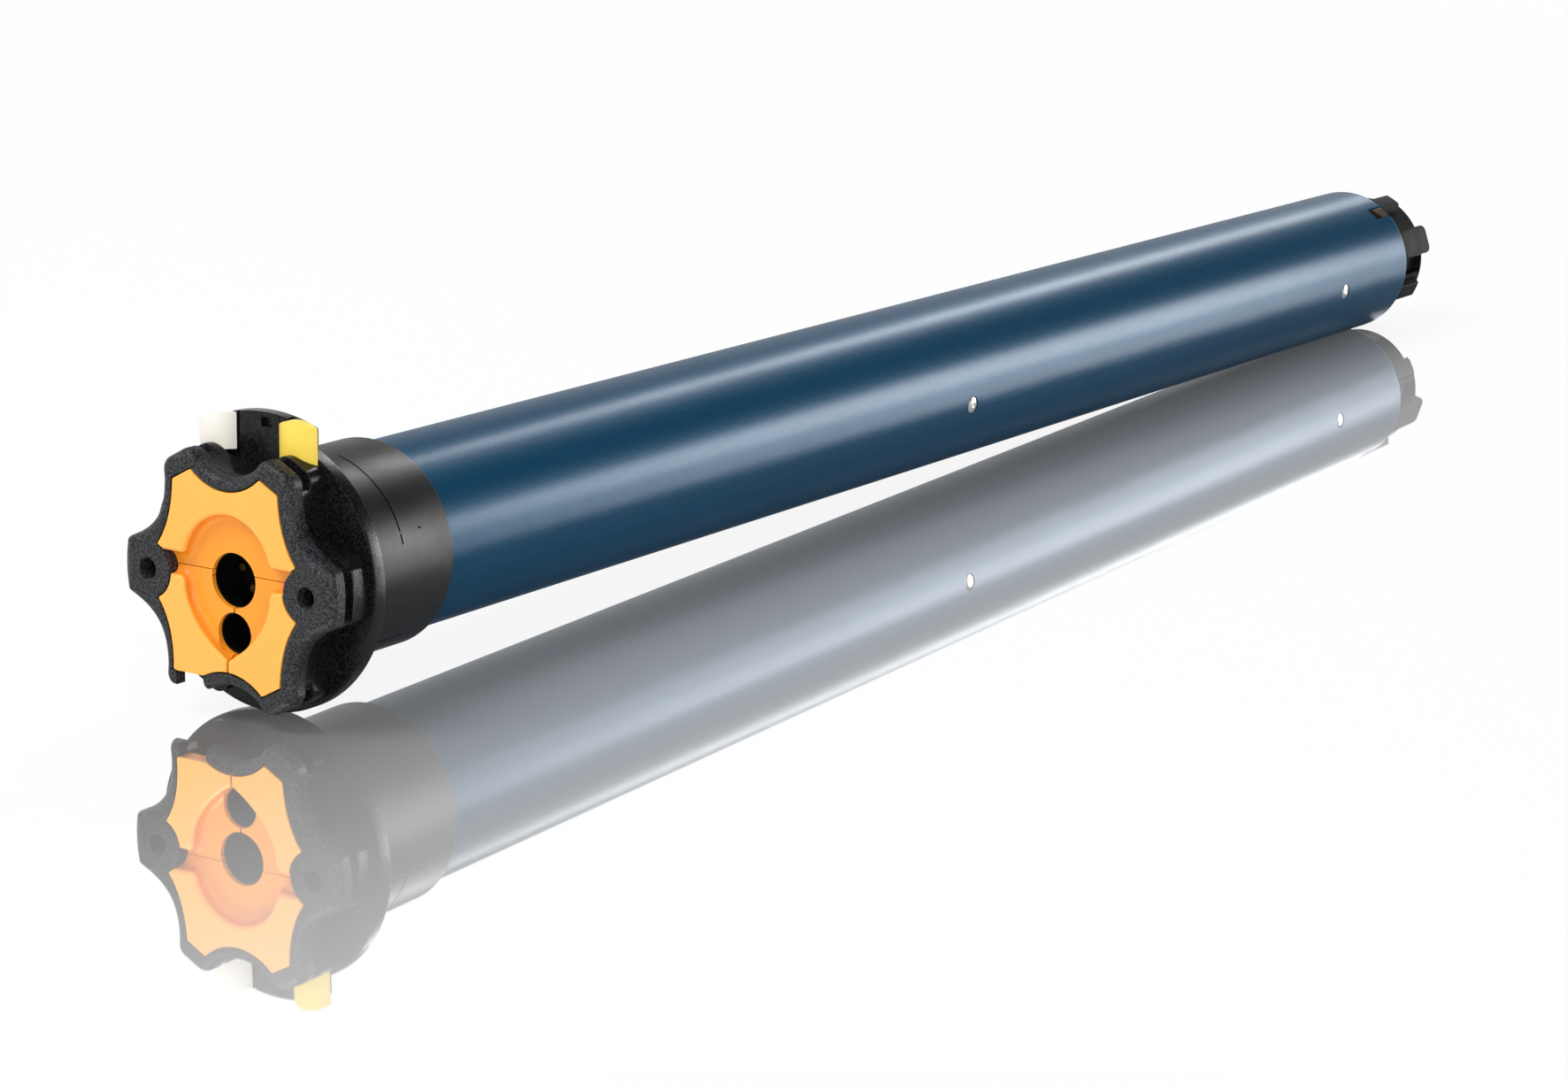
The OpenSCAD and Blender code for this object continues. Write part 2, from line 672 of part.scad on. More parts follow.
// Two switches that the cams trip, each with its plunger
switch_w = 4.6;
module micro_switches() {
    color([0.12, 0.12, 0.14]) for (i = [0, 1]) rotate([0, i * 180, 0])
        translate([cam_r + 2.2, cam_y[i] - 1, -5]) {
            cube([switch_w, cam_w + 2, 10]);
            translate([-1.9, cam_w / 2 + 1, 5]) rotate([0, 90, 0]) cylinder(r = 1.2, h = 2.5);
            translate([switch_w - 0.5, cam_w / 2 + 1, 5]) rotate([0, 90, 0])
                cylinder(r = 2, h = fit_r - 2 - cam_r - 2.2 - switch_w + 0.5 - 0.6);
        }
}

// The capacitor can
module capacitor() {
    y0 = holder_y + 4;
    color([0.78, 0.79, 0.8]) {
        turned([[0, y0], [capacitor_d / 2 - 1, y0], [capacitor_d / 2, y0 + 1],
            [capacitor_d / 2, y0 + capacitor_len - 1], [capacitor_d / 2 - 1, y0 + capacitor_len],
            [0, y0 + capacitor_len]]);
        for (x = [-5, 5]) translate([x - 0.4, y0 - 5, -2.4]) cube([0.8, 6, 4.8]);
    }
}

// The cradle that holds the capacitor in the tube
module capacitor_holder() {
    y0 = holder_y;
    inner = capacitor_d / 2 + slip_gap;
    color([0.25, 0.26, 0.28]) {
        ring(inner, fit_r, y0 + 4, y0 + 14);
        ring(inner, fit_r, y0 + capacitor_len - 6, y0 + capacitor_len + 4);
        for (a = [30, 150, 270])
            ring_sector(inner, fit_r, a - 12, a + 12, y0 + 4, y0 + capacitor_len + 4);
        ring(8, fit_r, y0, y0 + 4);
    }
}

// The seal between the spigot and the tube
module tube_seal() {
    color([0.08, 0.08, 0.08]) rotate([-90, 0, 0]) rotate_extrude()
        translate([bore_r - seal_r, seal_y]) circle(r = seal_r - 0.02, $fn = 24);
}

// The steel tube with its rivet holes and the notch at its far end
module motor_tube() {
    color([0.13, 0.32, 0.44]) difference() {
        turned([[bore_r, tube_start], [tube_r, tube_start], [tube_r, tube_end - 0.3],
            [tube_r - 0.3, tube_end], [bore_r, tube_end]]);
        for (y = rivet_y) for (a = [rivet_angle, rivet_angle + 180])
            spoke(rivet_head_r + run_gap, rivet_from - 1.5, rivet_reach, y, a);
        for (a = head_rivets) spoke(rivet_head_r + run_gap, rivet_from - 1.5, rivet_reach, head_rivet_y, a);
        slab(cap_y, tube_end + 1) polygon(sector(far, notch_from, notch_to, 4));
    }
}

// Rivets that hold the head, the motor and the gearbox in the tube
module rivet(y, angle, proud) {
    spoke(rivet_shank_r, rivet_from, tube_r - 0.9, y, angle);
    spoke(rivet_head_r, tube_r - 1, tube_r + proud, y, angle);
}

module tube_rivets() {
    color([0.86, 0.87, 0.88]) {
        for (y = rivet_y) for (a = [rivet_angle, rivet_angle + 180]) rivet(y, a, 0.15);
        for (a = head_rivets) rivet(head_rivet_y, a, 0);
    }
}

// End shields: a cup with a hub for the bearing
bearing_r = 9;
bearing_bore = 4;
bearing_w = 7;
shield_hole_r = 1.6;
module end_shield(y0, y1, hub_front) {
    hub_y = hub_front ? y0 : y1 - bearing_w - 2;
    difference() {
        union() {
            ring(fit_r - 2, fit_r, y0, y1);
            ring(bearing_bore + 0.5, fit_r, hub_front ? y0 : y1 - 3, hub_front ? y0 + 3 : y1);
            ring(bearing_bore + 0.5, bearing_r + 2, hub_y, hub_y + bearing_w + 2);
            if (hub_front) ring(rivet_from - 0.5, fit_r, y0, y0 + rivet_y[0] - front_shield_y + 3);
        }
        ring(0, bearing_r + run_gap, hub_front ? hub_y + 2 : hub_y - 1,
            hub_front ? hub_y + bearing_w + 3 : hub_y + bearing_w);
        for (a = [45 : 90 : 315]) rod(shield_hole_r, y0 - 1, y1 + 1, polar(bearing_r + 5, a));
    }
}

module front_end_shield() {
    color([0.7, 0.71, 0.73]) difference() {
        end_shield(front_shield_y, stator_y, true);
        for (a = [rivet_angle, rivet_angle + 180])
            spoke(rivet_shank_r + run_gap, rivet_from - 1.5, rivet_reach, rivet_y[0], a);
    }
}

module rear_end_shield() {
    color([0.7, 0.71, 0.73]) end_shield(rear_shield_y, brake_y, false);
}

// Bearings of the rotor
module rotor_bearings() {
    color([0.8, 0.8, 0.82]) {
        ring(bearing_bore, bearing_r, front_shield_y + 2, front_shield_y + 2 + bearing_w);
        ring(bearing_bore, bearing_r, brake_y - 2 - bearing_w, brake_y - 2);
    }
}

// The laminated stack with its slots
slot_count = 12;
yoke_t = 1.95;
tooth_tip_t = 2;
slot_r = (fit_r - yoke_t - rotor_r - air_gap - tooth_tip_t) / 2;
slot_x = fit_r - yoke_t - slot_r;
module stator_core() {
    color([0.45, 0.46, 0.48]) difference() {
        ring(rotor_r + air_gap, fit_r, stator_y, rear_shield_y);
        for (i = [0 : slot_count - 1]) {
            rod(slot_r, stator_y - 1, rear_shield_y + 1, polar(slot_x, i * 360 / slot_count + 15));
            slab(stator_y - 1, rear_shield_y + 1) rotate(i * 360 / slot_count + 15)
                translate([slot_x - slot_r - 2.4, -0.6]) square([4, 1.2]);
        }
    }
}

// Copper windings: bundles in the slots and their heads at both ends
module stator_windings() {
    color([0.75, 0.42, 0.2]) {
        ring(rotor_r + 1.5, fit_r - 2.4, stator_y - 7, stator_y - 0.3);
        ring(rotor_r + 1.5, fit_r - 2.4, rear_shield_y + 0.3, rear_shield_y + 6);
        for (i = [0 : slot_count - 1])
            rod(slot_r - 0.2, stator_y - 1, rear_shield_y + 1, polar(slot_x, i * 360 / slot_count + 15));
    }
}

// The rotor stack, its cage rings and its shaft with the first sun gear
module rotor_core() {
    color([0.4, 0.41, 0.43]) ring(bearing_bore + 0.5, rotor_r, stator_y + 1, rear_shield_y - 1);
}

module rotor_cage() {
    color([0.75, 0.76, 0.78]) {
        ring(8, rotor_r - 0.6, stator_y - 3, stator_y + 1);
        ring(8, rotor_r - 0.6, rear_shield_y - 1, rear_shield_y + 3);
    }
}

module rotor_shaft() {
    shoulder = bearing_bore + 0.5;
    color([0.82, 0.83, 0.85]) {
        rod(bearing_bore - 0.02, front_shield_y - 4, brake_y);
        rod(shoulder, front_shield_y + 3 + bearing_w, brake_y - 3 - bearing_w);
        rod(rotor_shaft_r, brake_y - 1, planet_end(0) - 0.2);
        spur_gear(sun_teeth, gear_module, stage_y(0), planet_end(0) - 0.2);
    }
}

// The spring-applied brake between motor and gearbox
brake_coil_len = 11;
brake_lift = 0.4;
armature_t = 3.5;
brake_disc_t = 3;
brake_disc_r = fit_r - 3.85;
brake_hub_r = rotor_shaft_r + 3.5;
coil_r = brake_disc_r - 5.5;
coil_base = 3;
brake_disc_y = brake_y + brake_coil_len + brake_lift + armature_t + slip_gap;
module brake_coil() {
    front = brake_y + coil_base;
    back = brake_y + brake_coil_len;
    color([0.35, 0.36, 0.38]) difference() {
        rod(fit_r, brake_y, back);
        ring(coil_r, brake_disc_r, front, back + 1);
        rod(rotor_shaft_r + 0.8, brake_y - 1, back + 1);
    }
    color([0.75, 0.42, 0.2]) ring(coil_r + seat_gap, brake_disc_r - seat_gap, front, back - 0.5);
}

module brake_armature() {
    color([0.6, 0.61, 0.63]) ring(rotor_shaft_r + 1, fit_r - 0.4,
        brake_y + brake_coil_len + brake_lift, brake_disc_y - slip_gap);
}

module brake_disc() {
    color([0.3, 0.27, 0.24]) {
        ring(rotor_shaft_r, brake_disc_r, brake_disc_y, brake_disc_y + brake_disc_t);
        ring(rotor_shaft_r, brake_hub_r, brake_disc_y + brake_disc_t, brake_disc_y + 2 * brake_disc_t);
    }
}

// The ring gear of all three stages, with the plate that the brake disc bears on
module ring_gear() {
    plate = brake_disc_y + brake_disc_t + slip_gap;
    color([0.5, 0.52, 0.55]) difference() {
        union() {
            ring(gear_module * (ring_teeth / 2 - 1.2), fit_r, ring_gear_y, end_housing_y);
            ring(brake_hub_r + 1, fit_r, plate, ring_gear_y + 0.5);
        }
        ring_gear_spaces(ring_teeth, gear_module, ring_gear_y + 0.5, end_housing_y + 1);
    }
}

// One planet gear of a stage, on its pin
module planet_gear(stage, turn) {
    color([0.88, 0.86, 0.8]) rotate([0, -turn * 120, 0]) difference() {
        spur_gear(planet_teeth, gear_module, stage_y(stage), planet_end(stage), [planet_x, 0]);
        rod(planet_pin_r + run_gap, stage_y(stage) - 1, planet_end(stage) + 1, [planet_x, 0]);
    }
}

// Plate and pins of a planet carrier
module carrier_body(stage) {
    rod(plate_r, plate_y(stage), plate_end(stage));
    for (i = [0 : 2]) rod(planet_pin_r, stage_y(stage), plate_y(stage) + 1, polar(planet_x, i * 120));
}

module planet_carrier(stage) {
    color([0.72, 0.73, 0.75]) {
        carrier_body(stage);
        spur_gear(sun_teeth, gear_module, plate_end(stage) - 1, planet_end(stage + 1) - 0.2);
    }
}

module planet_gear_1a() { planet_gear(0, 0); }
module planet_gear_1b() { planet_gear(0, 1); }
module planet_gear_1c() { planet_gear(0, 2); }
module planet_gear_2a() { planet_gear(1, 0); }
module planet_gear_2b() { planet_gear(1, 1); }
module planet_gear_2c() { planet_gear(1, 2); }
module planet_gear_3a() { planet_gear(2, 0); }
module planet_gear_3b() { planet_gear(2, 1); }
module planet_gear_3c() { planet_gear(2, 2); }
module planet_carrier_1() { planet_carrier(0); }
module planet_carrier_2() { planet_carrier(1); }

// The last carrier and the output shaft in one piece
shaft_end = tube_end + drive_reach - 7.5;
module output_carrier() {
    color([0.72, 0.73, 0.75]) difference() {
        union() {
            carrier_body(2);
            rod(output_r + 1.5, plate_end(2) - 1, end_housing_y + 3);
            rod(output_r, plate_end(2) - 1, shaft_end);
        }
        rod(screw_r, shaft_end - 18, shaft_end + 1);
        translate([-far / 2, tube_end + 2, output_r - 1.5]) cube([far, far, far]);
    }
}

// The bearing housing that closes the gearbox
module gearbox_end_housing() {
    color([0.66, 0.67, 0.7]) difference() {
        ring(output_r + 3, fit_r, end_housing_y, cap_y);
        ring(0, output_r + 3.5, end_housing_y - 1, end_housing_y + 3.5);
        for (a = [rivet_angle, rivet_angle + 180])
            spoke(rivet_shank_r + run_gap, rivet_from - 1.5, rivet_reach, rivet_y[1], a);
        for (a = [60 : 60 : 360]) rod(1.8, cap_y - 8, cap_y + 1, polar(17.5, a));
    }
}

module output_bush() {
    color([0.72, 0.5, 0.25])
        ring(output_r + run_gap, output_r + 3 - 0.02, end_housing_y + 3.5, cap_y);
}

// The cap that closes the tube, with the key that stops it turning
module end_bearing_cap() {
    color([0.12, 0.12, 0.13]) {
        ring(output_r + seat_gap, fit_r, cap_y, tube_end);
        intersection() {
            ring_sector(fit_r - 1, lug_r, notch_from + key_margin, notch_to - key_margin,
                cap_y, tube_end);
            rotate([0, -notch_from, 0]) translate([0, cap_y + 5.6, 0])
                multmatrix([[1, 0, 0, 0], [0, 1, -0.62, 0], [0, 0, 1, 0], [0, 0, 0, 1]])
                translate([0, 0, -5]) cube([far, far, far]);
        }
    }
}

// The drive that carries the blind's wheel: a hub with two wide and four narrow lugs round it
hub_r = lug_r - 2.4;
drive_y = tube_end + seat_gap;
drive_end = tube_end + drive_reach;
lug_turn = 18.6;
small_lug_angle = 43;
module output_drive() {
    color([0.11, 0.11, 0.12]) difference() {
        union() {
            ring(output_r + run_gap, hub_r, drive_y, drive_y + 4);
            ring(hub_r - 3, hub_r, drive_y, drive_end - 4);
            ring(output_r + run_gap, output_r + 3.2, drive_y, drive_end - 7.5);
            for (a = [lug_turn, lug_turn + 180]) {
                drive_lug(a);
                small_lug(a + small_lug_angle);
                small_lug(a - small_lug_angle);
                for (b = [-small_lug_angle, 0, small_lug_angle]) slab(drive_y, drive_end - 8)
                    rotate(a + b) translate([output_r + 2, -0.9]) square([hub_r - output_r - 3, 1.8]);
            }
            intersection() {
                rod(output_r + 1, drive_y + 2, drive_end - 7.5);
                translate([-far / 2, 0, output_r - 1.4]) cube([far, far * 20, far]);
            }
        }
        for (a = [lug_turn, lug_turn + 180]) ring_sector(hub_r - 4, hub_r + 1, a - 29, a - 14,
            drive_y + 1.2, drive_end - 5.2);
    }
}

module drive_lug(angle) {
    reach = drive_end - drive_y;
    soft = 2.2;
    half = lug_w / 2;
    outline = concat(
        [[0, -half]],
        softened([0, -half], [reach, -half], [reach, half], soft, 5),
        softened([reach, -half], [reach, half], [0, half], soft, 5),
        [[0, half]]);
    intersection() {
        ring(hub_r - 3, lug_r, drive_y, drive_end);
        translate([0, drive_y, 0]) rotate([0, -angle, 0]) multmatrix([[0, 0, 1, 0], [1, 0, 0, 0],
            [0, 1, 0, 0], [0, 0, 0, 1]]) linear_extrude(far) polygon(outline);
    }
}

// A narrow lug with sloping sides
module small_lug(angle) {
    intersection() {
        ring(hub_r - 3, lug_r, drive_y, tube_end + small_lug_reach);
        slab(drive_y - 1, drive_end) rotate(angle) polygon([[hub_r - 3, -4.4], [hub_r, -3.8],
            [lug_r + 0.2, -1.6], [lug_r + 0.2, 1.6], [hub_r, 3.8], [hub_r - 3, 4.4]]);
    }
}

// The screw and washer that hold the drive on its shaft
screw_r = 3;
module output_screw() {
    color([0.8, 0.81, 0.83]) difference() {
        union() {
            rod(screw_r, shaft_end - 16, shaft_end + 1);
            rod(output_r + 2, shaft_end, shaft_end + 1.6);
            rod(5.4, shaft_end + 1.6, shaft_end + 5);
        }
        slab(shaft_end + 2.4, shaft_end + 6) circle(r = 2.9, $fn = 6);
    }
}

head_housing();
cover_upper();
cover_lower_left();
cover_lower_right();
cable_socket();
socket_contacts();
white_button();
yellow_button();
white_button_spring();
yellow_button_spring();
crown();
crown_pinion();
cam_shaft();
limit_switch_housing();
micro_switches();
capacitor();
capacitor_holder();
tube_seal();
motor_tube();
tube_rivets();
front_end_shield();
rear_end_shield();
rotor_bearings();
stator_core();
stator_windings();
rotor_core();
rotor_cage();
rotor_shaft();
brake_coil();
brake_armature();
brake_disc();
ring_gear();
planet_gear_1a();
planet_gear_1b();
planet_gear_1c();
planet_carrier_1();
planet_gear_2a();
planet_gear_2b();
planet_gear_2c();
planet_carrier_2();
planet_gear_3a();
planet_gear_3b();
planet_gear_3c();
output_carrier();
gearbox_end_housing();
output_bush();
end_bearing_cap();
output_drive();
output_screw();
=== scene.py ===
import json
import math

import bmesh
import bpy
from mathutils import Matrix, Vector
from mathutils.geometry import tessellate_polygon

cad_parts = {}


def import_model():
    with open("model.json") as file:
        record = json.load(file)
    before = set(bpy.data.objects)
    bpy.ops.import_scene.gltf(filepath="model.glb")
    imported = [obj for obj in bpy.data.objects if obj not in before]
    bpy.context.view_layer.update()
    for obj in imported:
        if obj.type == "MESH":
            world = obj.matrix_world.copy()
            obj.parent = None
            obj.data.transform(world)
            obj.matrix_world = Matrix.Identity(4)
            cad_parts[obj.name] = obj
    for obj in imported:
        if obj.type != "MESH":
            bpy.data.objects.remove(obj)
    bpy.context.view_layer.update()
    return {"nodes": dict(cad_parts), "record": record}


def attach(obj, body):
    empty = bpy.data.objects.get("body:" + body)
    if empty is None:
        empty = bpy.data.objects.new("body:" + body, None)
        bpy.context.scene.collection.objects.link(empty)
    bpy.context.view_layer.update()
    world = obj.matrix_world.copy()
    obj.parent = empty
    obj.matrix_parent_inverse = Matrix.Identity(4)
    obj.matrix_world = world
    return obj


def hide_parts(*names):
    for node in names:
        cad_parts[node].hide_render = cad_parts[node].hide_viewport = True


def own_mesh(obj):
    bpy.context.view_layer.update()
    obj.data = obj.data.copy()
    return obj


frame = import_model()
MM = 0.001

# ---------------------------------------------------------------- main measures, mm and degrees
# Numbers such as 40, 50 and 60 in a cutter only reach past the outline.

# Tube: outer radius, ends, wall
TUBE_R, TUBE_START, TUBE_END, WALL = 23.65, 27.0, 585.5, 1.2
TUBE_STEPS = 24

# Head: the star, the flange behind it with its raised sector, and the holes of the ears
STAR_DEPTH, FLANGE_R, FLANGE_END, SECTOR_R = 13.3, 33.7, 17.3, 38.3
SECTOR_X = (-17.2, 14.2)
HOLE_X, HOLE_R = 24.0, 2.5
LOBE_R, LOBE_A, LOBE_HALF, VALLEY_R = 33.0, 61.5, 8.5, 24.9
LOBE_SOFT, VALLEY_LEAD = 3.4, 18
EAR_R, EAR_A, EAR_LEAD = 31.9, 11.6, 3.2
# The round front rim: its radius, and how much wider it is on the ears and where
EDGE = 2.4
EAR_RIM, EAR_RIM_A, EAR_RIM_FADE = 0.35, 14, 6
# The groove round the star, with a small slope at its lips and its foot
GROOVE_R, GROOVE_0, GROOVE_1 = 30.2, 5.0, 7.8
GROOVE_LIP, GROOVE_FOOT, LIP_SHARE = 0.25, 0.12, 0.12
# Rounded edges as (distance in, depth): the flange's, and those of the cover and the holes
FLANGE_SOFT, FLANGE_BORE = ((0.45, 0), (0.13, 0.13), (0, 0.45)), 15
EDGE_SOFT = ((0.35, 0), (0.1, 0.1), (0, 0.35))

# Cover: its lobes, with a corner of its own at the lower left one, and the bite round an ear's hole
COVER_LOBE_R, COVER_LOBE_HALF, COVER_VALLEY = 27.7, 6.5, 21.5
LOW_CORNER, BITE = (16.6, 23.1), 7.1
# Thickness, depth of the recess, gap to the head, and the roundings of its walls
COVER_T, RECESS, COVER_GAP = 4.2, 3.0, 0.3
COVE_TOP, COVE_R, PILLAR_TOP = 1.2, 1.75, 0.88
# Plug opening, and the setting hole this far below it
PLUG_R, SETTING_R, DROP = 6.6, 5.0, 12.7
# Heights of the seam between the mouldings and of the foot of the lower left one
SEAM, CHORD_Z = 1.9, -23.3
# Cable exit: its x range and depth, and the height at which the lobe beside it ends
CABLE, CABLE_DEPTH, SHORT_LOBE_Z = (-15.6, -7.3), 10.5, -26.8
# The arch over the plug opening, and the channel between the pillars below it
ARCH_R, ARCH_Z, ARCH_SOFT, PLATEAU_Z = 12.9, 2.9, 1.6, 5.1
PILLAR_Z, CHANNEL_TOP, CHANNEL_FOOT = -0.2, (-12.8, -2.6), (-0.1, -18.75)

# Each button: middle, underside, and the side on which its tongue stands
BUTTONS = ((-13.0, 28.6, 1), (11.4, 27.6, -1))
BUTTON_FRONT, BUTTON_BACK = 10.0, 13.2
BUTTON_HALF, BUTTON_BOW = 5.75, 3.3
BUTTON_R = (BUTTON_HALF ** 2 + BUTTON_BOW ** 2) / (2 * BUTTON_BOW)
BUTTON_Y = BUTTON_FRONT + BUTTON_R
TONGUE_SHIFT, TONGUE_HALF, TONGUE_0, TONGUE_1 = 1.1, 2.5, 12.2, 15.8
POCKET_DEPTH, POCKET_GAP, ROOM_HALF, ROOM_0, ROOM_1 = 3.3, 0.3, 2.8, 12.3, 16.1
STEM_R, STEM_Y = 1.3, 13.2
SPRING_SEAT, SPRING_R, SPRING_WIRE = 17.0, 2.3, 0.35
SPRING_TURNS, SPRING_STEPS, SPRING_SIDES = 6, 24, 8

# Spigot in the tube, crown with its fine lines, and rivets as (y, angle)
SPIGOT_R, SPIGOT_BORE, SPIGOT_END = 22.35, 14, 47
CROWN_R, CROWN_END, CROWN_BORE, CROWN_STEP = 25.6, 52.6, 22.6, 25.2
LINE_DEPTH, LINE_END = 0.3, 42
RIVETS = [(296.0, -6), (296.0, 174), (538.5, -6), (538.5, 174)]
HEAD_RIVETS = [(41.0, 90), (41.0, 210), (41.0, 330)]
RIVET_HOLE, RIVET_SHANK, RIVET_HEAD, RIVET_FOOT = 2.6, 1.5, 2.5, 17.5

# Far end: the tube's notch as a range of angles, the end cap with its key, the lugs and the hub
NOTCH, NOTCH_DEPTH = (46.0, 57.5), 10.5
CAP_BORE, CAP_R, KEY_R = 10.3, 22.35, (21, 23.45)
LUG_R, LUG_W, LUG_SOFT = 23.6, 9.7, 2.0
HUB_R, HUB_BORE, HUB_SLEEVE = 21.2, 10.05, 13.2
LUG_TURN, SMALL_LUG, SMALL_REACH = 18.6, 43.0, 13.2
DRIVE_Y, DRIVE_END = TUBE_END + 0.3, TUBE_END + 19.5


# ---------------------------------------------------------------- plane outlines, [x, z] in mm
def polar(r, a, c=(0.0, 0.0)):
    return (c[0] + r * math.cos(math.radians(a)), c[1] + r * math.sin(math.radians(a)))


def turned(r, t, angle):
    """The point at r along the direction of that angle and at t square to it."""
    a = math.radians(angle)
    return (r * math.cos(a) - t * math.sin(a), r * math.sin(a) + t * math.cos(a))


def arc(c, r, a0, a1, n):
    return [polar(r, a0 + (a1 - a0) * i / n, c) for i in range(n + 1)]


def circle(c, r, n):
    return arc(c, r, 0, 360 * (n - 1) / n, n - 1)


def bezier(a, b, c, d, n):
    out = []
    for i in range(n + 1):
        t = i / n
        s = 1 - t
        k = (s ** 3, 3 * s * s * t, 3 * s * t * t, t ** 3)
        out.append(tuple(sum(w * p[j] for w, p in zip(k, (a, b, c, d))) for j in (0, 1)))
    return out


def fillet(a, corner, b, r, n):
    """Points of the true arc of radius r that rounds a corner."""
    c = Vector(corner)
    u = (Vector(a) - c).normalized()
    v = (Vector(b) - c).normalized()
    half = math.acos(max(-1, min(1, u.dot(v)))) / 2
    mid = c + (u + v).normalized() * r / math.sin(half)
    s = c + u * r / math.tan(half) - mid
    e = c + v * r / math.tan(half) - mid
    swing = math.atan2(s.x * e.y - s.y * e.x, s.dot(e))
    out = []
    for i in range(n + 1):
        cos, sin = math.cos(swing * i / n), math.sin(swing * i / n)
        out.append((mid.x + s.x * cos - s.y * sin, mid.y + s.x * sin + s.y * cos))
    return out


def quarter(r, n):
    """The quarter circle of a rounded edge: (distance in from the wall, depth)."""
    angles = [math.radians(90 * i / n) for i in range(n + 1)]
    return [(r * (1 - math.sin(a)), r * (1 - math.cos(a))) for a in angles]


def hollow(r, n):
    """The quarter circle at the foot of a wall, down to the recess: (distance out, depth)."""
    angles = [math.radians(90 * i / n) for i in range(n + 1)]
    return [(r - r * math.cos(a), RECESS - r + r * math.sin(a)) for a in angles]


def valley(top, low):
    """The arc from a lobe's corner down to the height low at x = 0: middle, radius, first angle."""
    z = (top[0] ** 2 + top[1] ** 2 - low ** 2) / (2 * (top[1] - low))
    return z, z - low, math.degrees(math.atan2(top[1] - z, top[0]))


def four_fold(q, third=None):
    """The first quadrant mirrored to a whole outline. The third can have a shape of its own."""
    third = third or q
    return (list(q) + [(-x, z) for x, z in reversed(q[:-1])]
            + [(-x, -z) for x, z in third[1:]] + [(x, -z) for x, z in reversed(q[1:-1])])


def tidy(pts, least=0.02):
    out = []
    for p in pts:
        if not out or math.dist(p, out[-1]) > least:
            out.append(p)
    if math.dist(out[0], out[-1]) <= least:
        out.pop()
    return out


def grown(pts, g, scale=None):
    """A closed anticlockwise outline moved outwards by g, or by g times a number for each point."""
    n = len(pts)
    out = []
    for i in range(n):
        p = Vector(pts[i])
        a = (p - Vector(pts[i - 1])).normalized()
        b = (Vector(pts[(i + 1) % n]) - p).normalized()
        na, nb = Vector((a.y, -a.x)), Vector((b.y, -b.x))
        m = na + nb
        m = m.normalized() if m.length > 1e-6 else na
        k = g * (scale[i] if scale else 1) / max(0.6, m.dot(na))
        out.append((p.x + m.x * k, p.y + m.y * k))
    return out


def smooth_step(t):
    t = max(0.0, min(1.0, t))
    return t * t * (3 - 2 * t)


# ---------------------------------------------------------------- meshes
def placed(name, data):
    """A new object in the scene."""
    ob = bpy.data.objects.new(name, data)
    bpy.context.scene.collection.objects.link(ob)
    return ob


def discard(ob):
    me = ob.data
    bpy.data.objects.remove(ob)
    bpy.data.meshes.remove(me)


def weld(me, dist):
    """Joins points that lie closer than dist, and turns the faces outwards."""
    bm = bmesh.new()
    bm.from_mesh(me)
    bmesh.ops.remove_doubles(bm, verts=bm.verts, dist=dist)
    bmesh.ops.recalc_face_normals(bm, faces=bm.faces)
    bm.to_mesh(me)
    bm.free()


def make(name, verts, faces):
    """A mesh object from points in mm as (x, y, z)."""
    me = bpy.data.meshes.new(name)
    me.from_pydata([Vector(v) * MM for v in verts], [], faces)
    ob = placed(name, me)
    weld(me, 2e-6)
    return ob


def caps(verts, groups):
    """Triangles that close a set of rings, each given as a list of indices."""
    flat = [i for g in groups for i in g]
    tris = tessellate_polygon([[Vector((verts[i][0], verts[i][2], 0)) for i in g] for g in groups])
    return [tuple(flat[k] for k in t) for t in tris]


def bands(n, count, base=0):
    """The count bands of faces between successive rings of n points."""
    faces = []
    for j in range(count):
        for i in range(n):
            a, b = base + j * n + i, base + j * n + (i + 1) % n
            faces.append((a, b, b + n, a + n))
    return faces


def rings_mesh(name, loops):
    """A closed plate. Each loop is a list of rings of (x, y, z) points.

    The caps join the first rings of all loops, and the last ones.
    """
    verts, faces = [], []
    starts, ends = [], []
    for rings in loops:
        n = len(rings[0])
        base = len(verts)
        for r in rings:
            verts.extend(r)
        faces.extend(bands(n, len(rings) - 1, base))
        starts.append(list(range(base, base + n)))
        ends.append(list(range(base + (len(rings) - 1) * n, base + len(rings) * n)))
    faces.extend(caps(verts, starts))
    faces.extend(caps(verts, ends))
    return make(name, verts, faces)


def lift(p, y):
    return (p[0], y, p[1])


def levels(pts, rings, scale=None):
    """An outline at each of the rings, which are (growth, y) from front to back."""
    return [[lift(p, y) for p in grown(pts, g, scale)] for g, y in rings]


def plate(name, pts, rings, holes=()):
    """An outline and its holes, each with its own rings, extruded along y."""
    return rings_mesh(name, [levels(pts, rings)] + [levels(*hole) for hole in holes])


def turned_faces(m, n, closed=True):
    """The faces of a profile of m points that is turned in n steps."""
    last = m if closed else m - 1
    return [(i * m + j, i * m + (j + 1) % m, (i + 1) % n * m + (j + 1) % m, (i + 1) % n * m + j)
            for i in range(n) for j in range(last)]


def revolve(name, profile, n=128):
    """A closed (radius, y) profile turned about the y axis."""
    verts = []
    for i in range(n):
        c, s = math.cos(2 * math.pi * i / n), math.sin(2 * math.pi * i / n)
        verts.extend((r * c, y, r * s) for r, y in profile)
    ob = make(name, verts, turned_faces(len(profile), n))
    bm = bmesh.new()
    bm.from_mesh(ob.data)
    bmesh.ops.dissolve_degenerate(bm, dist=1e-6, edges=bm.edges)
    bm.to_mesh(ob.data)
    bm.free()
    return ob


BOX_FACES = [(0, 1, 3, 2), (4, 6, 7, 5), (0, 4, 5, 1), (2, 3, 7, 6), (0, 2, 6, 4), (1, 5, 7, 3)]


